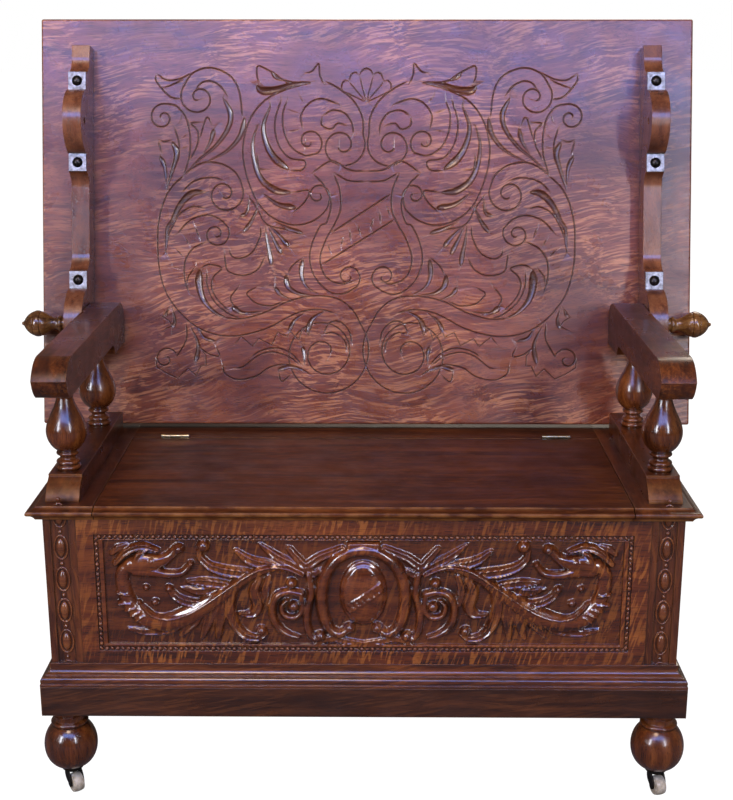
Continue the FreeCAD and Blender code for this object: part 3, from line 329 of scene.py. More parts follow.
# %% Numbers of the board's carving
# stems and outlines: points and, where the cut ends in a spiral, its middle and its turns
INCISED = [
    ([(-218, 539), (-224, 586), (-241, 613), (-275, 626), (-306, 616), (-323, 591)], (-295, 574), 1.3),
    ([(-301, 586), (-291, 599), (-275, 603), (-257, 594), (-243, 576)],),
    ([(-294, 500), (-281, 539), (-271, 525)],),
    ([(-322, 435), (-311, 476), (-311, 512), (-318, 540), (-334, 559), (-352, 563)], (-358, 539), 1.3),
    ([(-311, 463), (-297, 494), (-297, 516), (-308, 529), (-289, 531)],),
    ([(-331, 463), (-330, 494), (-338, 523)],),
    ([(-366, 500), (-354, 497), (-343, 500)],),
    ([(-367, 500), (-360, 476)],),
    ([(-320, 439), (-343, 417), (-357, 392), (-365, 362), (-368, 331), (-366, 279), (-355, 235), (-334, 202),
      (-306, 175), (-275, 160), (-241, 155), (-207, 159), (-170, 171), (-139, 188), (-112, 199), (-81, 202),
      (-53, 195)],),
    ([(-322, 437), (-306, 451), (-281, 461), (-250, 456), (-227, 439), (-217, 414)], (-250, 405), -1.4),
    ([(-325, 408), (-303, 428), (-272, 434), (-249, 428)],),
    ([(-284, 380), (-306, 383), (-328, 371), (-340, 352), (-349, 331), (-353, 306)],),
    ([(-334, 334), (-312, 358), (-284, 368), (-260, 362), (-243, 346)], (-265, 335), -1.4),
    ([(-281, 322), (-306, 309), (-320, 285), (-320, 254), (-312, 229)],),
    ([(-281, 269), (-281, 245), (-269, 217), (-244, 195), (-220, 186)],),
    ([(-294, 273), (-278, 281), (-255, 275), (-269, 260), (-273, 242), (-263, 220), (-241, 198)],),
    ([(-301, 277), (-314, 260), (-317, 245)],),
    ([(-252, 187), (-217, 186), (-176, 198), (-136, 217), (-93, 226), (-53, 222), (-25, 203), (-8, 174)],
      (-74, 125), -2.1),
    ([(-76, 157), (-65, 178), (-47, 181), (-30, 165), (-24, 140)],),
    ([(-78, 158), (-56, 161), (-37, 146), (-34, 128)],),
    ([(-318, 177), (-318, 149), (-334, 120)], (-355, 114), 1.2),
    ([(-297, 137), (-278, 123), (-260, 120), (-266, 137)],),
    ([(-254, 106), (-249, 88), (-226, 78), (-195, 84), (-170, 100), (-139, 105), (-115, 97), (-96, 85)],),
    ([(-232, 98), (-217, 101), (-192, 120), (-167, 127), (-139, 120), (-115, 103)],),
    ([(-204, 117), (-186, 129), (-158, 134), (-133, 125), (-112, 103)],),
    ([(-155, 94), (-149, 75), (-132, 88)],),
    ([(-95, 442), (-74, 420), (-62, 389), (-70, 355), (-81, 349), (-96, 316), (-99, 285), (-87, 254),
      (-62, 232), (-37, 231), (-16, 243)], (-32, 260), 1.2),
    ([(-58, 442), (-47, 414), (-45, 380), (-56, 352), (-71, 325), (-81, 291), (-71, 260), (-47, 248),
      (-22, 251)],),
    ([(-96, 442), (-61, 463), (-31, 448), (0, 445)],),
    ([(-57, 443), (-31, 429), (0, 427)],),
    ([(-139, 569), (-147, 546), (-145, 516), (-132, 488), (-108, 473), (-85, 477)], (-101, 497), 1.1),
    ([(-112, 519), (-115, 543), (-101, 564), (-78, 572), (-47, 562)],),
    ([(-71, 602), (-47, 589), (-22, 568), (-7, 540), (-5, 509)], (-43, 490), -1.5),
    ([(-78, 542), (-59, 552), (-37, 546), (-25, 528), (-23, 509)],),
    ([(-78, 542), (-78, 526), (-62, 519), (-50, 529), (-34, 525)],),
    ([(-98, 600), (-139, 589), (-176, 571), (-201, 543), (-214, 509), (-217, 472), (-209, 432), (-192, 392),
      (-167, 365), (-130, 351), (-96, 357), (-71, 377), (-64, 399)], (-85, 403), 1.2),
    ([(-150, 571), (-161, 531), (-155, 494), (-136, 469), (-108, 463), (-112, 448), (-136, 446)],),
    ([(-192, 476), (-189, 451), (-175, 448)],),
    ([(-130, 408), (-102, 411), (-108, 392), (-130, 372)],),
    ([(-98, 601), (-139, 602), (-164, 617), (-190, 629), (-192, 611), (-187, 599)],),
    ([(-108, 617), (-96, 620), (-84, 633), (-82, 614), (-74, 597)],),
    ([(-369, 616), (-352, 605), (-331, 606), (-306, 617)],),
    ([(-369, 616), (-369, 602), (-346, 576), (-325, 571)],),
    ([(-357, 591), (-340, 597), (-323, 605)],),
    ([(-241, 311), (-238, 297), (-223, 292), (-201, 303), (-187, 331), (-186, 349)],),
    ([(-250, 303), (-249, 288), (-243, 269), (-217, 262), (-192, 272), (-179, 294)],),
    ([(-112, 294), (-130, 279), (-139, 263)],),
    ([(-224, 243), (-238, 226), (-237, 214), (-220, 198), (-183, 198)],),
    ([(-192, 242), (-210, 232), (-206, 223), (-192, 212), (-167, 209), (-145, 217)],),
    ([(-210, 405), (-192, 380), (-175, 352), (-142, 343), (-112, 334)],),
]
TOOTHED = [
    [(-234, 138), (-221, 154), (-200, 137), (-190, 151), (-167, 139), (-156, 162), (-139, 154), (-130, 177)],
    [(-372, 120), (-371, 100), (-352, 88), (-334, 80), (-315, 98), (-301, 85), (-292, 103), (-283, 103),
     (-284, 121), (-294, 134)],
    [(-346, 208), (-360, 189), (-349, 182), (-343, 173), (-363, 163)],
    [(-133, 177), (-136, 165), (-119, 149), (-112, 168), (-101, 157), (-98, 177)],
]
SCOOPED = [
    ([(-252, 574), (-239, 546), (-244, 519), (-266, 489), (-294, 466), (-320, 439)], 4.5),
    ([(-214, 539), (-221, 509), (-244, 482), (-280, 462)], 4.5),
    ([(-268, 520), (-274, 497), (-287, 476)], 4),
    ([(-342, 497), (-334, 476), (-342, 445), (-352, 414)], 5),
    ([(-364, 472), (-355, 451), (-352, 417)], 4),
    ([(-287, 409), (-308, 406), (-328, 386), (-342, 358), (-351, 343), (-354, 303)], 6),
    ([(-294, 272), (-295, 248), (-288, 220), (-269, 198), (-250, 188)], 7),
    ([(-136, 163), (-127, 182), (-108, 197)], 4),
    ([(-104, 161), (-95, 185), (-70, 201)], 5),
    ([(-302, 106), (-297, 140), (-310, 171)], 4.5),
    ([(-266, 146), (-286, 152), (-297, 168), (-311, 180)], 3.5),
    ([(-343, 168), (-338, 183), (-343, 205)], 3.5),
    ([(-355, 190), (-349, 202)], 3),
    ([(-156, 95), (-133, 101), (-104, 91)], 4.5),
    ([(-112, 137), (-109, 121), (-109, 105)], 4),
    ([(-136, 448), (-161, 468), (-176, 494), (-181, 525), (-169, 559)], 6.5),
    ([(-132, 408), (-158, 411), (-183, 429), (-196, 457), (-200, 494), (-192, 525)], 6),
    ([(-124, 381), (-155, 387), (-181, 405)], 5.5),
    ([(-193, 595), (-183, 586), (-158, 588), (-130, 597), (-99, 600)], 7),
    ([(-167, 620), (-158, 608), (-133, 602)], 3),
    ([(-167, 279), (-170, 300), (-175, 325), (-178, 349)], 4.5),
    ([(-149, 299), (-161, 322), (-173, 348)], 4.5),
    ([(-136, 312), (-152, 331), (-170, 349)], 4.5),
    ([(-112, 336), (-136, 345), (-161, 356)], 4),
    ([(-217, 337), (-204, 355), (-192, 380), (-193, 392)], 4),
    ([(-223, 366), (-210, 374), (-206, 402)], 3.5),
    ([(-142, 263), (-138, 243), (-121, 231), (-96, 227)], 5),
    ([(-112, 291), (-114, 263), (-105, 242), (-84, 229)], 4.5),
    ([(-237, 208), (-224, 198), (-204, 193)], 5),
    ([(-161, 242), (-152, 229), (-133, 220)], 4),
]
TICKS = [
    [(-320, 329), (-311, 313)],
    [(-337, 309), (-322, 294)],
    [(-302, 348), (-294, 326)],
    [(-343, 278), (-333, 274)],
    [(-116, 574), (-110, 567)],
    [(-135, 552), (-124, 548)],
    [(-135, 515), (-123, 517)],
    [(-107, 501), (-108, 487)],
    [(-322, 504), (-317, 509)],
    [(-324, 485), (-317, 488)],
    [(-328, 531), (-325, 542)],
    [(-317, 522), (-312, 531)],
]

# %% Curves through points
def smooth(points, step):
    """A smooth curve through the points, sampled about every step."""
    p = np.array(points, float)
    p = np.vstack([2 * p[0] - p[1], p, 2 * p[-1] - p[-2]])
    out = []
    for a, b, c, d in zip(p, p[1:], p[2:], p[3:]):
        n = max(2, int(np.linalg.norm(c - b) / step))
        t = np.linspace(0, 1, n, endpoint=False)[:, None]
        out.append(0.5 * (2 * b + (c - a) * t + (2 * a - 5 * b + 4 * c - d) * t**2
                + (3 * b - a - 3 * c + d) * t**3))
    out.append(p[-2:-1])
    return np.vstack(out)


def spiral(start, middle, turns, step):
    """From the stem's end inwards round the middle. Positive turns go counter-clockwise."""
    start, middle = np.array(start, float), np.array(middle, float)
    reach = np.linalg.norm(start - middle)
    begin = math.atan2(*(start - middle)[::-1])
    count = max(12, int(abs(turns) * 2 * math.pi * reach * 0.55 / step))
    t = np.linspace(0, 1, count)[1:]
    r = reach * (1 - 0.86 * t)
    a = begin + turns * 2 * math.pi * t
    return middle + np.stack([r * np.cos(a), r * np.sin(a)], 1)


def densify(points, step):
    """Straight runs through the points, sampled about every step."""
    out = []
    for a, b in zip(points, points[1:]):
        a, b = np.array(a, float), np.array(b, float)
        n = max(1, int(np.linalg.norm(b - a) / step))
        out += [a + (b - a) * i / n for i in range(n)]
    return np.array(out + [np.array(points[-1], float)])

# %% Gather the cuts: a centre line with a half width and a depth at each point
STEP = 3.0
cuts = []


def v_cut(line, half=1.7, deep=1.6):
    share = np.linspace(0, 1, len(line))
    taper = np.clip(np.minimum(share, 1 - share) * len(line) / 3.0, 0.25, 1)
    cuts.append((line, half * (0.6 + 0.4 * taper), deep * taper))


for points, *closing in INCISED:
    line = smooth(points, STEP)
    if closing:
        line = np.vstack([line, spiral(line[-1], *closing, STEP)])
    v_cut(line)
for points in TOOTHED:
    v_cut(densify(points, STEP), 1.3, 1.2)
for points in TICKS:
    v_cut(densify(points, STEP), 1.8, 1.3)
for points, half in SCOOPED:
    line = smooth(points, STEP)
    share = np.linspace(0, 1, len(line))
    form = np.minimum(1, np.sqrt(share / 0.18)) * (1 - 0.78 * share)
    wide = 1.35 * half * form
    cuts.append((line, np.maximum(wide, 1.2), np.maximum(0.55 * wide, 0.7)))
mirrored = [(line * (-1, 1), half, deep) for line, half, deep in cuts]
cuts += mirrored
# the shell of five lobes at the top middle, and the shield's band with ticks for its motto
ribs = [(12, 46), (31, 36), (43, 20)]
lobes = [[(12, 46), (18, 52), (26, 49), (31, 36)], [(31, 36), (37, 38), (43, 32), (43, 20)]]
for side in (-1, 1):
    for x, s in ribs:
        v_cut(densify([(0, 566), (side * x, 566 + s)], STEP), 1.3, 1.2)
    for lobe in lobes:
        v_cut(smooth([(side * x, 566 + s) for x, s in lobe], STEP), 1.6, 1.5)
v_cut(smooth([(-12, 612), (-8, 621), (0, 625), (8, 621), (12, 612)], STEP), 1.6, 1.5)
for ends in (((-62, 337), (44, 406)), ((-78, 281), (52, 362))):
    v_cut(densify(ends, STEP), 1.8, 1.6)
for i in range(7):
    low = np.array((-62 + 17.5 * i, 302 + 10.6 * i))
    v_cut(densify([low, low + ((-6, 16), (4, 17), (-2, 18))[i % 3]], STEP), 2.0, 1.6)
print("cuts on the board:", len(cuts))

# %% Lay out the points of the face and join them
WIDE, TALL, THICK = 1143.0, 711.0, 21.0
EDGE = 3.0


def rounded_loop(inset, step=9.0):
    """Corner loop of the board seen from the front, shrunk by inset, in millimetres."""
    half, r = WIDE / 2 - inset, max(EDGE - inset, 0.01)
    low, high = inset, TALL - inset
    corners = [(half - r, low + r, -90), (half - r, high - r, 0), (r - half, high - r, 90),
               (r - half, low + r, 180)]
    loop = []
    for i, (x, s, a0) in enumerate(corners):
        for k in range(3):
            a = math.radians(a0 + 45 * k)
            loop.append((x + r * math.cos(a), s + r * math.sin(a)))
        nx, ns, na = corners[(i + 1) % 4]
        start = np.array(loop[-1])
        end = np.array((nx + r * math.cos(math.radians(na)), ns + r * math.sin(math.radians(na))))
        count = int(round(((WIDE if i % 2 else TALL) - 2 * EDGE) / step))
        loop += [tuple(start + (end - start) * j / count) for j in range(1, count)]
    return np.array(loop)


points = []
for line, half, deep in cuts:
    run = np.gradient(line, axis=0)
    side = np.stack([-run[:, 1], run[:, 0]], 1) / np.maximum(np.linalg.norm(run, axis=1), 1e-6)[:, None]
    spread = (-1, -0.5, 0, 0.5, 1) if half.max() > 2.5 else (-1, 0, 1)
    for place in spread:
        points.append(line + side * half[:, None] * place)
loose = np.vstack(points)
keys = np.unique(np.round(loose / 0.8).astype(int), axis=0, return_index=True)[1]
loose = loose[np.sort(keys)]
tree = kdtree.KDTree(len(loose))
for i, (x, s) in enumerate(loose):
    tree.insert((x, s, 0), i)
tree.balance()
grid = [(x, s) for x in np.arange(-552, 553, 23.0) for s in np.arange(18, 700, 22.5)
        if tree.find((x, s, 0))[2] > 9]
rim = rounded_loop(EDGE)
flat = [Vector(p) for p in np.vstack([rim, grid, loose])]
made = geometry.delaunay_2d_cdt(flat, [(i, (i + 1) % len(rim)) for i in range(len(rim))], [], 1, 0.01)
face_points, face_triangles = np.array([tuple(p) for p in made[0]]), made[2]
print("board face:", len(face_points), "points", len(face_triangles), "triangles")

# %% Sink each point by its distance from the nearest cut
fine, fine_half, fine_deep = [], [], []
for line, half, deep in cuts:
    share = np.linspace(0, len(line) - 1, (len(line) - 1) * 5 + 1)
    whole = np.arange(len(line))
    fine.append(np.stack([np.interp(share, whole, line[:, 0]), np.interp(share, whole, line[:, 1])], 1))
    fine_half.append(np.interp(share, whole, half))
    fine_deep.append(np.interp(share, whole, deep))
fine, fine_half, fine_deep = np.vstack(fine), np.hstack(fine_half), np.hstack(fine_deep)
near = kdtree.KDTree(len(fine))
for i, (x, s) in enumerate(fine):
    near.insert((x, s, 0), i)
near.balance()
sunk = np.zeros(len(face_points))
for i, (x, s) in enumerate(face_points):
    for _, index, gap in near.find_range((x, s, 0), 10):
        q = gap / fine_half[index]
        if q < 1:
            shape = 1 - q if fine_half[index] < 2.2 else 1 - q * q
            sunk[i] = max(sunk[i], fine_deep[index] * shape)
print("deepest cut", round(sunk.max(), 2), "mm")

# %% Close the board and lean it back as the frame's board stands
LEAN = math.radians(13.5)
low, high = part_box("table_top")
foot = Vector((0, 0.120109, 0.495402))      # front lower edge of the board, in metres
up, out = Vector((0, math.sin(LEAN), math.cos(LEAN))), Vector((0, -math.cos(LEAN), math.sin(LEAN)))


def close_board(name):
    shape = bmesh.new()
    # how deep each point is cut, from 0 to 1, which the board's oak turns into painted shade
    depth = shape.verts.layers.float.new("cut")

    def place(x, s, d):
        return shape.verts.new(Vector((x * MM, 0, 0)) + foot + up * (s * MM) + out * (d * MM))

    face = []
    for (x, s), z in zip(face_points, sunk):
        vertex = place(x, s, -z)
        vertex[depth] = min(1.0, z / 2.2)
        face.append(vertex)
    for triangle in face_triangles:
        shape.faces.new([face[i] for i in triangle])
    shape.edges.index_update()
    rings = [[face[made_index] for made_index in rim_order]]
    bevel = EDGE * 0.29     # half way round the rounded edge
    for inset, d in ((bevel, -bevel), (0, -EDGE), (0, EDGE - THICK), (bevel, bevel - THICK), (EDGE, -THICK)):
        rings.append([place(x, s, d) for x, s in rounded_loop(inset)])
    for ring, following in zip(rings, rings[1:]):
        for i in range(len(ring)):
            j = (i + 1) % len(ring)
            shape.faces.new([ring[i], following[i], following[j], ring[j]])
    shape.faces.new(rings[-1])
    bmesh.ops.recalc_face_normals(shape, faces=shape.faces)
    mesh = bpy.data.meshes.new(name)
    shape.to_mesh(mesh)
    shape.free()
    return mesh


spot = {tuple(np.round(p, 3)): i for i, p in enumerate(face_points)}
rim_order = [spot[tuple(np.round(p, 3))] for p in rim]


def new_piece(name, mesh, material, body, sharp=35):
    """An object for the mesh that rides a body and takes its finish from a slot."""
    piece = place_in_scene(name, mesh)
    if not mesh.materials:
        mesh.materials.append(material)
    mesh.shade_smooth()
    mesh.set_sharp_from_angle(angle=math.radians(sharp))
    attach(piece, body)
    return piece


board = new_piece("carved_board", close_board("carved_board"), oak_board, "table", 3)
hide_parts("table_top")
print("board box", [tuple(round(v, 4) for v in c) for c in (low, high)], "polygons", len(board.data.polygons))

# %% [markdown]
# ## The chest's carved front
# The front board is carved in relief: the ground is cut away and leaf scrolls, two beast heads and an
# oval boss are left standing. A relief has no undercuts, so it is a height over a fine grid.
# Each leaf is a curved ridge with a width at every point, rounded or with a vein down its middle,
# and the highest ridge wins where they cross, as the chisel would leave it. The motto on the boss is
# replaced by plain ticks.

# %% Numbers of the front's carving
# round stems and veined leaves: points from the field's middle, half widths and rise
ROUNDS = [
    ([(-96, 34), (-133, 40), (-171, 27), (-207, 2), (-239, -20), (-271, -40), (-303, -50), (-330, -45),
      (-353, -22), (-364, 7), (-364, 34), (-352, 45)], (4, 5, 7, 9, 12, 15, 16, 15, 14, 12, 11, 10), 10.2),
    ([(-92, 30), (-112, 40), (-133, 44), (-155, 40), (-175, 30), (-200, 12), (-226, -7), (-253, -26),
      (-276, -37), (-298, -42), (-320, -37), (-334, -24), (-342, -14)],
      (3, 3.5, 3.5, 3.5, 3.5, 3.5, 3.5, 3.5, 3.5, 3.5, 3.5, 3, 2), 12.2),
    ([(-95, -1), (-114, 2), (-131, -5), (-139, -26), (-134, -50), (-120, -66), (-99, -73)],
      (6, 6, 6, 6, 6, 6, 3), 9.4),
    ([(-95, -2), (-93, -26), (-104, -40), (-120, -37), (-125, -22), (-117, -12)], (5, 5, 5, 5, 4, 3), 8.7),
    ([(-83, 30), (-79, 1), (-85, -26), (-86, -52), (-77, -75), (-64, -73)], (5, 6, 6, 6, 6, 4), 8.7),
    ([(-22, -57), (-37, -67), (-54, -54), (-63, -22), (-61, 19), (-45, 50), (-22, 66), (0, 70)],
      (6, 8, 9, 9.5, 9.5, 9, 9, 9), 11.6),
    ([(-352, 44), (-330, 48), (-308, 51), (-292, 60), (-282, 71)], (13, 17, 12, 8, 7), 11.6),
    ([(-346, 35), (-320, 34), (-295, 30), (-274, 33), (-261, 47)], (8, 9, 7, 6, 4), 10.2),
    ([(-347, 50), (-340, 63), (-326, 69)], (3, 4, 2), 12.5),
]
LEAVES = [
    ([(-175, 30), (-207, 34), (-231, 42), (-245, 55), (-248, 67)], (10, 11.2, 10, 7.5, 5), 9.4),
    ([(-127, 43), (-156, 47), (-175, 54), (-192, 68)], (8.8, 10, 8.8, 3.8), 8.7),
    ([(-93, 35), (-112, 48), (-133, 60), (-156, 79)], (7.5, 8.8, 7.5, 2.5), 8.0),
    ([(-245, -19), (-269, -16), (-286, -7), (-296, 8)], (7.5, 8.8, 7.5, 5), 8.7),
    ([(-210, 12), (-239, 16), (-266, 18)], (8.8, 10, 3.8), 7.2),
    ([(-223, 4), (-250, 2), (-276, 7)], (7.5, 8.8, 2.5), 5.8),
    ([(-245, -27), (-260, -50), (-280, -71)], (10, 10, 3.8), 6.5),
    ([(-223, -14), (-237, -47), (-247, -73)], (10, 11.2, 5), 6.5),
    ([(-204, 1), (-218, -37), (-223, -75)], (10, 12.5, 5), 6.5),
    ([(-181, 24), (-200, 4), (-204, -26), (-197, -52), (-181, -71), (-162, -75), (-150, -67)],
      (7.5, 10, 11.2, 10, 8.8, 7.5, 5), 9.4),
    ([(-158, 22), (-166, 4), (-161, -20), (-169, -35), (-188, -35)], (6.2, 10, 11.2, 8.8, 3.8), 8.0),
    ([(-143, 27), (-149, 4), (-146, -20)], (5, 7.5, 3.8), 6.5),
    ([(-112, 72), (-99, 55), (-86, 44), (-64, 58), (-32, 72)], (5, 7.5, 8.8, 7.5, 6.2), 7.2),
    ([(-86, 44), (-77, 30), (-67, 37)], (6.2, 7.5, 3.8), 6.5),
    ([(-359, -61), (-330, -66), (-295, -61), (-271, -50)], (3.8, 7.5, 8.8, 5), 5.8),
    ([(-375, 48), (-356, 67), (-333, 75), (-310, 69)], (5, 7.5, 7.5, 3.8), 10.9),
    ([(-72, -85), (-51, -76), (-23, -81), (0, -85)], (3.8, 6.2, 6.2, 6.2), 5.8),
    ([(-380, 63), (-369, 72), (-356, 78)], (3.8, 6.2, 2.5), 5.8),
]
BALLS = [(-241, 76, 10, 11.6), (-295, 7, 6, 9.4), (-156, -62, 8, 10.9), (-109, 16, 8.5, 10.9),
        (-106, -22, 9, 10.9), (-66, -71, 9, 10.9), (-21, -57, 9, 12.3), (-278, 72, 8, 13.0),
        (-261, 48, 4.5, 10.9), (-330, 8, 5, 7.2), (-317, -16, 6, 7.2), (-320, 53, 6.5, 13.5)]
RIBS = [[(-374, 1), (-355, -2)], [(-372, -16), (-353, -16)], [(-362, -28), (-348, -24)], [(-355, -37),
        (-340, -30)], [(-347, -45), (-336, -37)]]

# %% Heights over the field
FIELD_X, FIELD_Z, GROUND = 391.8, 84.3, 4.0
CENTRE = 346.5
GRID = 1.5
columns = np.linspace(-FIELD_X, FIELD_X, int(2 * FIELD_X / GRID) + 1)
rows = np.linspace(-FIELD_Z, FIELD_Z, int(2 * FIELD_Z / GRID) + 1)
X, Z = np.meshgrid(columns, rows)
relief = np.zeros_like(X)


def stamp(line, widths, rises, kind):
    """Raise the relief along a curve that has a half width and a rise at each sample."""
    reach = widths.max() + 2
    inside = ((X > line[:, 0].min() - reach) & (X < line[:, 0].max() + reach)
              & (Z > line[:, 1].min() - reach) & (Z < line[:, 1].max() + reach))
    here = np.stack([X[inside], Z[inside]], 1)
    if not len(here):
        return
    gap = np.linalg.norm(here[:, None] - line[None], axis=2)
    share = gap / widths[None]
    best = share.argmin(1)
    q = np.clip(share[np.arange(len(here)), best], 0, 1)
    if kind == "round":
        form = np.sqrt(np.clip(1 - q * q, 0, 1))
    else:
        form = (1 - q**4) * (1 - 0.42 * np.exp(-(q / 0.2) ** 2)) * (0.8 + 0.2 * np.cos(q * 12))
    relief[inside] = np.maximum(relief[inside], form * rises[best])


for points, widths, rise, kind in [(*r, "round") for r in ROUNDS] + [(*r, "leaf") for r in LEAVES]:
    line = smooth(points, 1.5)
    share = np.linspace(0, 1, len(line))
    wide = np.interp(share, np.linspace(0, 1, len(widths)), widths)
    for way in (-1, 1):
        stamp(line * (way, 1), wide, rise * (0.55 + 0.45 * np.minimum(1, wide / wide.max() * 1.3)), kind)
for x, z, r, rise in BALLS:
    for way in (-1, 1):
        stamp(np.array([(way * x, z)]), np.array([r]), np.array([rise]), "round")
for points in RIBS:
    line = densify(points, 1.5)
    for way in (-1, 1):
        stamp(line * (way, 1), np.full(len(line), 2.4), np.full(len(line), 13.5), "round")
print("relief rises", round(relief.max(), 1), "mm")

# %% The oval boss, its notched band and the tablet over it
BOSS_X, BOSS_Z = 36.0, 53.0        # half width and half height
oval = np.sqrt((X / BOSS_X) ** 2 + (Z / BOSS_Z) ** 2)
relief = np.where(oval < 1, 12.0 * np.sqrt(np.clip(1 - oval**2, 0, 1)) + 1.0, relief)
rim = np.exp(-(((oval - 0.9) * BOSS_X / 2.0) ** 2))
relief -= np.where(oval < 1.05, 1.6 * rim, 0)
slope = math.radians(35)
across = -X * math.sin(slope) + (Z + 7) * math.cos(slope)
along = X * math.cos(slope) + (Z + 7) * math.sin(slope)
band = (np.abs(across) < 7.5) & (oval < 0.84)
relief += np.where(band, 2.0, 0)
relief -= np.where(band & (np.abs(across) < 5.0) & (np.cos(along * 2 * math.pi / 9.0) > 0.2), 2.4, 0)
tablet = (np.abs(X) < 25) & (np.abs(Z - 76) < 6.5)
relief = np.where(tablet, np.maximum(relief, 8.5 - np.abs(np.abs(X) - 19) * 0.1), relief)
relief[1:-1, 1:-1] = 0.5 * relief[1:-1, 1:-1] + 0.125 * (relief[:-2, 1:-1] + relief[2:, 1:-1]
        + relief[1:-1, :-2] + relief[1:-1, 2:])
rng = np.random.default_rng(4)
ground = rng.normal(0, 0.12, relief.shape)
relief = np.where(relief < 0.3, ground, relief)
print("boss centre height", round(float(relief[relief.shape[0] // 2, relief.shape[1] // 2]), 1))

# %% Close the front board round its relief
low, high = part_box("front_panel")
HALF, LOW_Z, HIGH_Z, FACE_Y, BACK_Y = high.x / MM, low.z / MM, high.z / MM, low.y / MM, high.y / MM
BEAD_X, BEAD_Z, BEAD_MIDDLE = 402.5, 91.6, 345.5
walls = np.array([3.3, 3.9])


def with_channel(field, line, low, middle, high):
    """Grid lines: the field's own, its walls, and both walls of the bead channel on each side."""
    outer = np.concatenate([line - walls[::-1], line + walls])
    return np.concatenate([[low], middle - outer[::-1], [field[0] - 1.2], field, [field[-1] + 1.2],
            middle + outer, [high]])


xs = with_channel(columns, BEAD_X, -HALF, 0, HALF)
zs = with_channel(CENTRE + rows, BEAD_Z, LOW_Z, BEAD_MIDDLE, HIGH_Z)
rise = np.full((len(zs), len(xs)), GROUND)
across, up_down = np.meshgrid(np.abs(xs), np.abs(zs - BEAD_MIDDLE))
ring = np.maximum(across - BEAD_X, up_down - BEAD_Z)
rise[np.abs(ring) < 3.6] = GROUND - 2.2
rise[6:-6, 6:-6] = relief
grid_y = FACE_Y + GROUND - rise
nx, nz = len(xs), len(zs)
front = np.stack([np.tile(xs, nz), grid_y.ravel(), np.repeat(zs, nx)], 1)
index = np.arange(nx * nz).reshape(nz, nx)
quads = np.stack([index[:-1, :-1], index[:-1, 1:], index[1:, 1:], index[1:, :-1]], -1).reshape(-1, 4)
edge = np.concatenate([index[0], index[1:, -1], index[-1, -2::-1], index[-2:0:-1, 0]])
back = front[edge] * (1, 0, 1) + (0, BACK_Y, 0)
start = len(front)
skirt = [(int(edge[i]), start + i, start + (i + 1) % len(edge), int(edge[(i + 1) % len(edge)]))
         for i in range(len(edge))]
mesh = bpy.data.meshes.new("carved_front")
mesh.from_pydata((np.vstack([front, back]) * MM).tolist(), [],
                 quads.tolist() + skirt + [tuple(range(start, start + len(edge)))])
# painted shade mask: it grows the deeper the surface lies, is halved where it stands at the board's face or
# higher, and is full in the bead channel; through the cut attribute it darkens the carved oak
hollow_shade = np.clip(1 - rise / 9.0, 0, 1)
hollow_shade[rise >= GROUND] *= 0.5
hollow_shade[:6], hollow_shade[-6:], hollow_shade[:, :6], hollow_shade[:, -6:] = 0, 0, 0, 0
hollow_shade[np.abs(ring) < 3.6] = 1
mesh.attributes.new("cut", "FLOAT", "POINT").data.foreach_set("value", np.concatenate(
    [hollow_shade.ravel(), np.zeros(len(edge))]).astype(np.float32))
shape = bmesh.new()
shape.from_mesh(mesh)
bmesh.ops.recalc_face_normals(shape, faces=shape.faces)
shape.to_mesh(mesh)
shape.free()
carved = new_piece("carved_front", mesh, oak_carved, "base", 60)
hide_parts("front_panel")
print("front board polygons:", len(mesh.polygons))

# %% [markdown]
# ## Beads round the field, ovals down the posts
# A run of small round beads with slanted drops between them frames the field, and each corner post
# has a chain of ringed ovals. They repeat at an even pitch, so they are made with Geometry
# Nodes: a path is cut into points, and every point is given its bead. The result is turned into a
# plain mesh so that it can be exported.

# %% Geometry Nodes helpers
def new_tree(name, sizes):
    """A geometry tree with one number input for each named size and a Geometry output."""
    tree = bpy.data.node_groups.new(name, "GeometryNodeTree")
    tree.interface.new_socket("Geometry", in_out="OUTPUT", socket_type="NodeSocketGeometry")
    for size in sizes:
        tree.interface.new_socket(size, in_out="INPUT", socket_type="NodeSocketFloat")
    return tree, tree.nodes.new("NodeGroupInput").outputs, tree.nodes.new("NodeGroupOutput")


def bake(tree, name, sizes, material, body="base"):
    """Run the tree once with these sizes and keep what it made as a plain piece."""
    holder = place_in_scene(name + "_maker", bpy.data.meshes.new(name + "_maker"))
    modifier = holder.modifiers.new("maker", "NODES")
    modifier.node_group = tree
    for socket in tree.interface.items_tree:
        if socket.in_out == "INPUT":
            modifier[socket.identifier] = float(sizes[socket.name])
    mesh = bpy.data.meshes.new_from_object(holder.evaluated_get(bpy.context.evaluated_depsgraph_get()))
    holder.modifiers.clear()
    bpy.data.objects.remove(holder)
    mesh.name = name
    piece = new_piece(name, mesh, material, body, 50)
    print(name, "polygons:", len(mesh.polygons))
    return piece


def finish_tree(tree, geometry_out, end, material):
    real = add(tree, "GeometryNodeRealizeInstances", {"Geometry": geometry_out})
    dressed = add(tree, "GeometryNodeSetMaterial", {"Geometry": real, "Material": material})
    tree.links.new(dressed.outputs[0], end.inputs[0])

# %% Bead border
tree, size, end = new_tree("bead_border", ("Width", "Height", "Pitch", "Bead", "Face", "Middle"))
path = add(tree, "GeometryNodeCurvePrimitiveQuadrilateral",
           {"Width": size["Width"], "Height": size["Height"]})
half_pitch = add(tree, "ShaderNodeMath", {0: size["Pitch"], 1: 0.5}, operation="MULTIPLY")
spots = add(tree, "GeometryNodeCurveToPoints", {"Curve": path, "Length": half_pitch}, mode="LENGTH")
number = add(tree, "GeometryNodeInputIndex")
odd = add(tree, "ShaderNodeMath", {0: number, 1: 2.0}, operation="MODULO")
even = add(tree, "ShaderNodeMath", {0: 1.0, 1: odd}, operation="SUBTRACT")
ball = add(tree, "GeometryNodeMeshUVSphere", {"Segments": 12, "Rings": 7, "Radius": size["Bead"]})
beads = add(tree, "GeometryNodeInstanceOnPoints", {"Points": spots.outputs["Points"], "Selection": even,
        "Instance": ball})
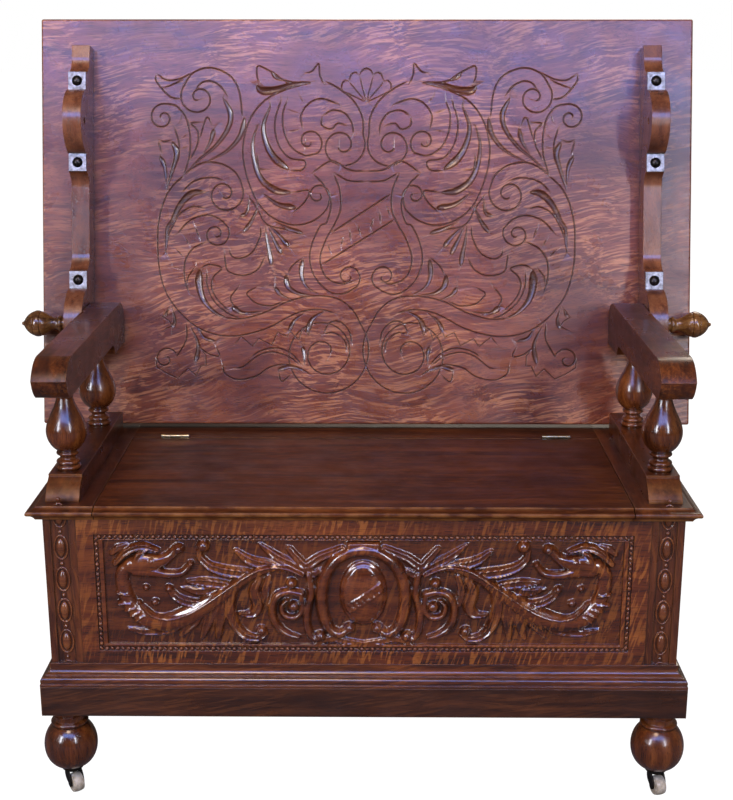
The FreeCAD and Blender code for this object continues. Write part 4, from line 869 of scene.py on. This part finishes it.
drops = add(tree, "GeometryNodeInstanceOnPoints", {"Points": spots.outputs["Points"], "Selection": odd,
        "Instance": ball, "Rotation": spots.outputs["Rotation"], "Scale": (0.55, 0.55, 1.15)})
both = add(tree, "GeometryNodeJoinGeometry")
for part in (beads, drops):
    tree.links.new(part.outputs[0], both.inputs[0])
shift = add(tree, "ShaderNodeCombineXYZ", {"Y": size["Face"], "Z": size["Middle"]})
stood = add(tree, "GeometryNodeTransform", {"Geometry": both, "Translation": shift,
        "Rotation": (math.radians(90), 0, 0)})
finish_tree(tree, stood, end, oak_bead_rubbed_and_lit)
bake(tree, "bead_border", {
    "Width": 2 * BEAD_X * MM, "Height": 2 * BEAD_Z * MM, "Pitch": 0.0164, "Bead": 0.0031,
    "Face": FACE_Y * MM + 0.0010, "Middle": BEAD_MIDDLE * MM}, oak_bead_rubbed_and_lit)

# %% Ringed ovals down the corner posts
# six to a post, 5.8 mm deep, each in a ring that clears it by 3.4 mm at the sides and 4.2 mm at the ends
tree, size, end = new_tree("post_ovals", ("Side", "Face", "Lowest", "Pitch", "Oval Width", "Oval Height"))
start = add(tree, "ShaderNodeCombineXYZ", {"X": size["Side"], "Y": size["Face"], "Z": size["Lowest"]})
step = add(tree, "ShaderNodeCombineXYZ", {"Z": size["Pitch"]})
line = add(tree, "GeometryNodeMeshLine", {"Count": 6, "Start Location": start, "Offset": step}, mode="OFFSET")
ball = add(tree, "GeometryNodeMeshUVSphere", {"Segments": 24, "Rings": 14, "Radius": 1.0})
form = add(tree, "ShaderNodeCombineXYZ", {"X": size["Oval Width"], "Y": 0.0058, "Z": size["Oval Height"]})
ovals = add(tree, "GeometryNodeInstanceOnPoints", {"Points": line, "Instance": ball, "Scale": form})
hoop = add(tree, "GeometryNodeCurvePrimitiveCircle", {"Resolution": 40, "Radius": 1.0})
wider = add(tree, "ShaderNodeMath", {0: size["Oval Width"], 1: 0.0034}, operation="ADD")
taller = add(tree, "ShaderNodeMath", {0: size["Oval Height"], 1: 0.0042}, operation="ADD")
ring_form = add(tree, "ShaderNodeCombineXYZ", {"X": wider, "Y": taller, "Z": 1.0})
stretched = add(tree, "GeometryNodeTransform", {"Geometry": hoop, "Scale": ring_form})
upright = add(tree, "GeometryNodeTransform", {"Geometry": stretched, "Rotation": (math.radians(90), 0, 0)})
bar = add(tree, "GeometryNodeCurvePrimitiveCircle", {"Resolution": 10, "Radius": 0.0017})
ring = add(tree, "GeometryNodeCurveToMesh", {"Curve": upright, "Profile Curve": bar})
rings = add(tree, "GeometryNodeInstanceOnPoints", {"Points": line, "Instance": ring})
between = add(tree, "ShaderNodeMath", {0: size["Pitch"], 1: 0.5}, operation="MULTIPLY")
lift = add(tree, "ShaderNodeCombineXYZ", {"Z": between})
small = add(tree, "GeometryNodeMeshUVSphere", {"Segments": 14, "Rings": 8, "Radius": 0.0034})
moved = add(tree, "GeometryNodeSetPosition", {"Geometry": line, "Offset": lift})
pearls = add(tree, "GeometryNodeInstanceOnPoints", {"Points": moved, "Instance": small})
all_parts = add(tree, "GeometryNodeJoinGeometry")
for part in (ovals, rings, pearls):
    tree.links.new(part.outputs[0], all_parts.inputs[0])
finish_tree(tree, all_parts, end, oak_bead_rubbed_and_lit)
for side, word in ((-1, "left"), (1, "right")):
    bake(tree, word + "_post_ovals", {
        "Side": side * 0.4568, "Face": -0.27589, "Lowest": 0.2119, "Pitch": 0.0515,
        "Oval Width": 0.0068, "Oval Height": 0.0148}, oak_bead_rubbed_and_lit)

# %% [markdown]
# ## Studio: pale floor, soft light
# Dark varnish is seen mostly by what it reflects. A broad cool panel of light high in front gives
# the board its bluish sheen, two tall windows at the sides draw the twin highlights on the
# turnings, and a warm key high in front models the carving. The floor and the surround are white
# to the camera only: a white floor would throw a grey haze up into the varnish, so its own tone is
# dark, and the surround gives the bench only a little light.

# %% Floor, lights and surround
mesh = bpy.data.meshes.new("floor")
mesh.from_pydata([(-30, -30, 0), (30, -30, 0), (30, 30, 0), (-30, 30, 0)], [], [(0, 1, 2, 3)])
floor_paint, tree = new_material("pale_studio_floor")
place = add(tree, "ShaderNodeTexCoord").outputs["Object"]
mottle = add(tree, "ShaderNodeTexNoise", {"Vector": place, "Scale": 6.0, "Detail": 4.0})
tint = add(tree, "ShaderNodeValToRGB", {"Fac": mottle}, stops=[(0.3, "#605e5c"), (0.7, "#6b6967")])
seen = add(tree, "ShaderNodeLightPath").outputs["Is Camera Ray"]
paint = add(tree, "ShaderNodeBsdfPrincipled", {"Base Color": tint, "Roughness": 0.9,
        "Emission Color": (1, 1, 1, 1), "Emission Strength": seen})
add(tree, "ShaderNodeOutputMaterial", {"Surface": paint})
mesh.materials.append(floor_paint)
place_in_scene("floor", mesh)

LIGHTS = [      # name, place, aim, width, height, watts, tint
    ("cool_front_panel", (-0.2, -4.2, 3.65), (0, 0.1, 0.75), 5.4, 1.3, 205, "#7da2ff"),
    ("left_window", (-2.9, -3.6, 1.9), (0, 0, 0.7), 0.45, 1.8, 120, "#eef2ff"),
    ("right_window", (2.1, -4.0, 1.9), (0, 0, 0.7), 0.28, 1.8, 82, "#eef2ff"),
    ("warm_top_key", (-0.6, -2.6, 4.0), (0, 0, 0.6), 1.2, 1.0, 66, "#ffdcba"),
    ("back_fill", (1.2, 4.2, 3.4), (0, 0, 0.6), 3.4, 2.0, 110, "#fff1e0"),
]
for name, place, aim, width, height, watts, tint in LIGHTS:
    data = bpy.data.lights.new(name, "AREA")
    data.shape = "RECTANGLE"
    data.size, data.size_y = width, height
    data.energy = watts
    data.color = colour(tint)[:3]
    light = place_in_scene(name, data)
    light.location = place
    light.rotation_euler = (Vector(aim) - Vector(place)).to_track_quat("-Z", "Y").to_euler()

world = bpy.data.worlds.new("surround")
bpy.context.scene.world = world
world.use_nodes = True
tree = world.node_tree
tree.nodes.clear()
seen = add(tree, "ShaderNodeLightPath").outputs["Is Camera Ray"]
lighting = add(tree, "ShaderNodeBackground", {"Color": colour("#f4efe6"), "Strength": 0.12})
backdrop = add(tree, "ShaderNodeBackground", {"Color": (1, 1, 1, 1), "Strength": 1.0})
choice = add(tree, "ShaderNodeMixShader", {0: seen, 1: lighting, 2: backdrop})
add(tree, "ShaderNodeOutputWorld", {"Surface": choice})
bpy.context.scene.view_settings.view_transform = "Standard"
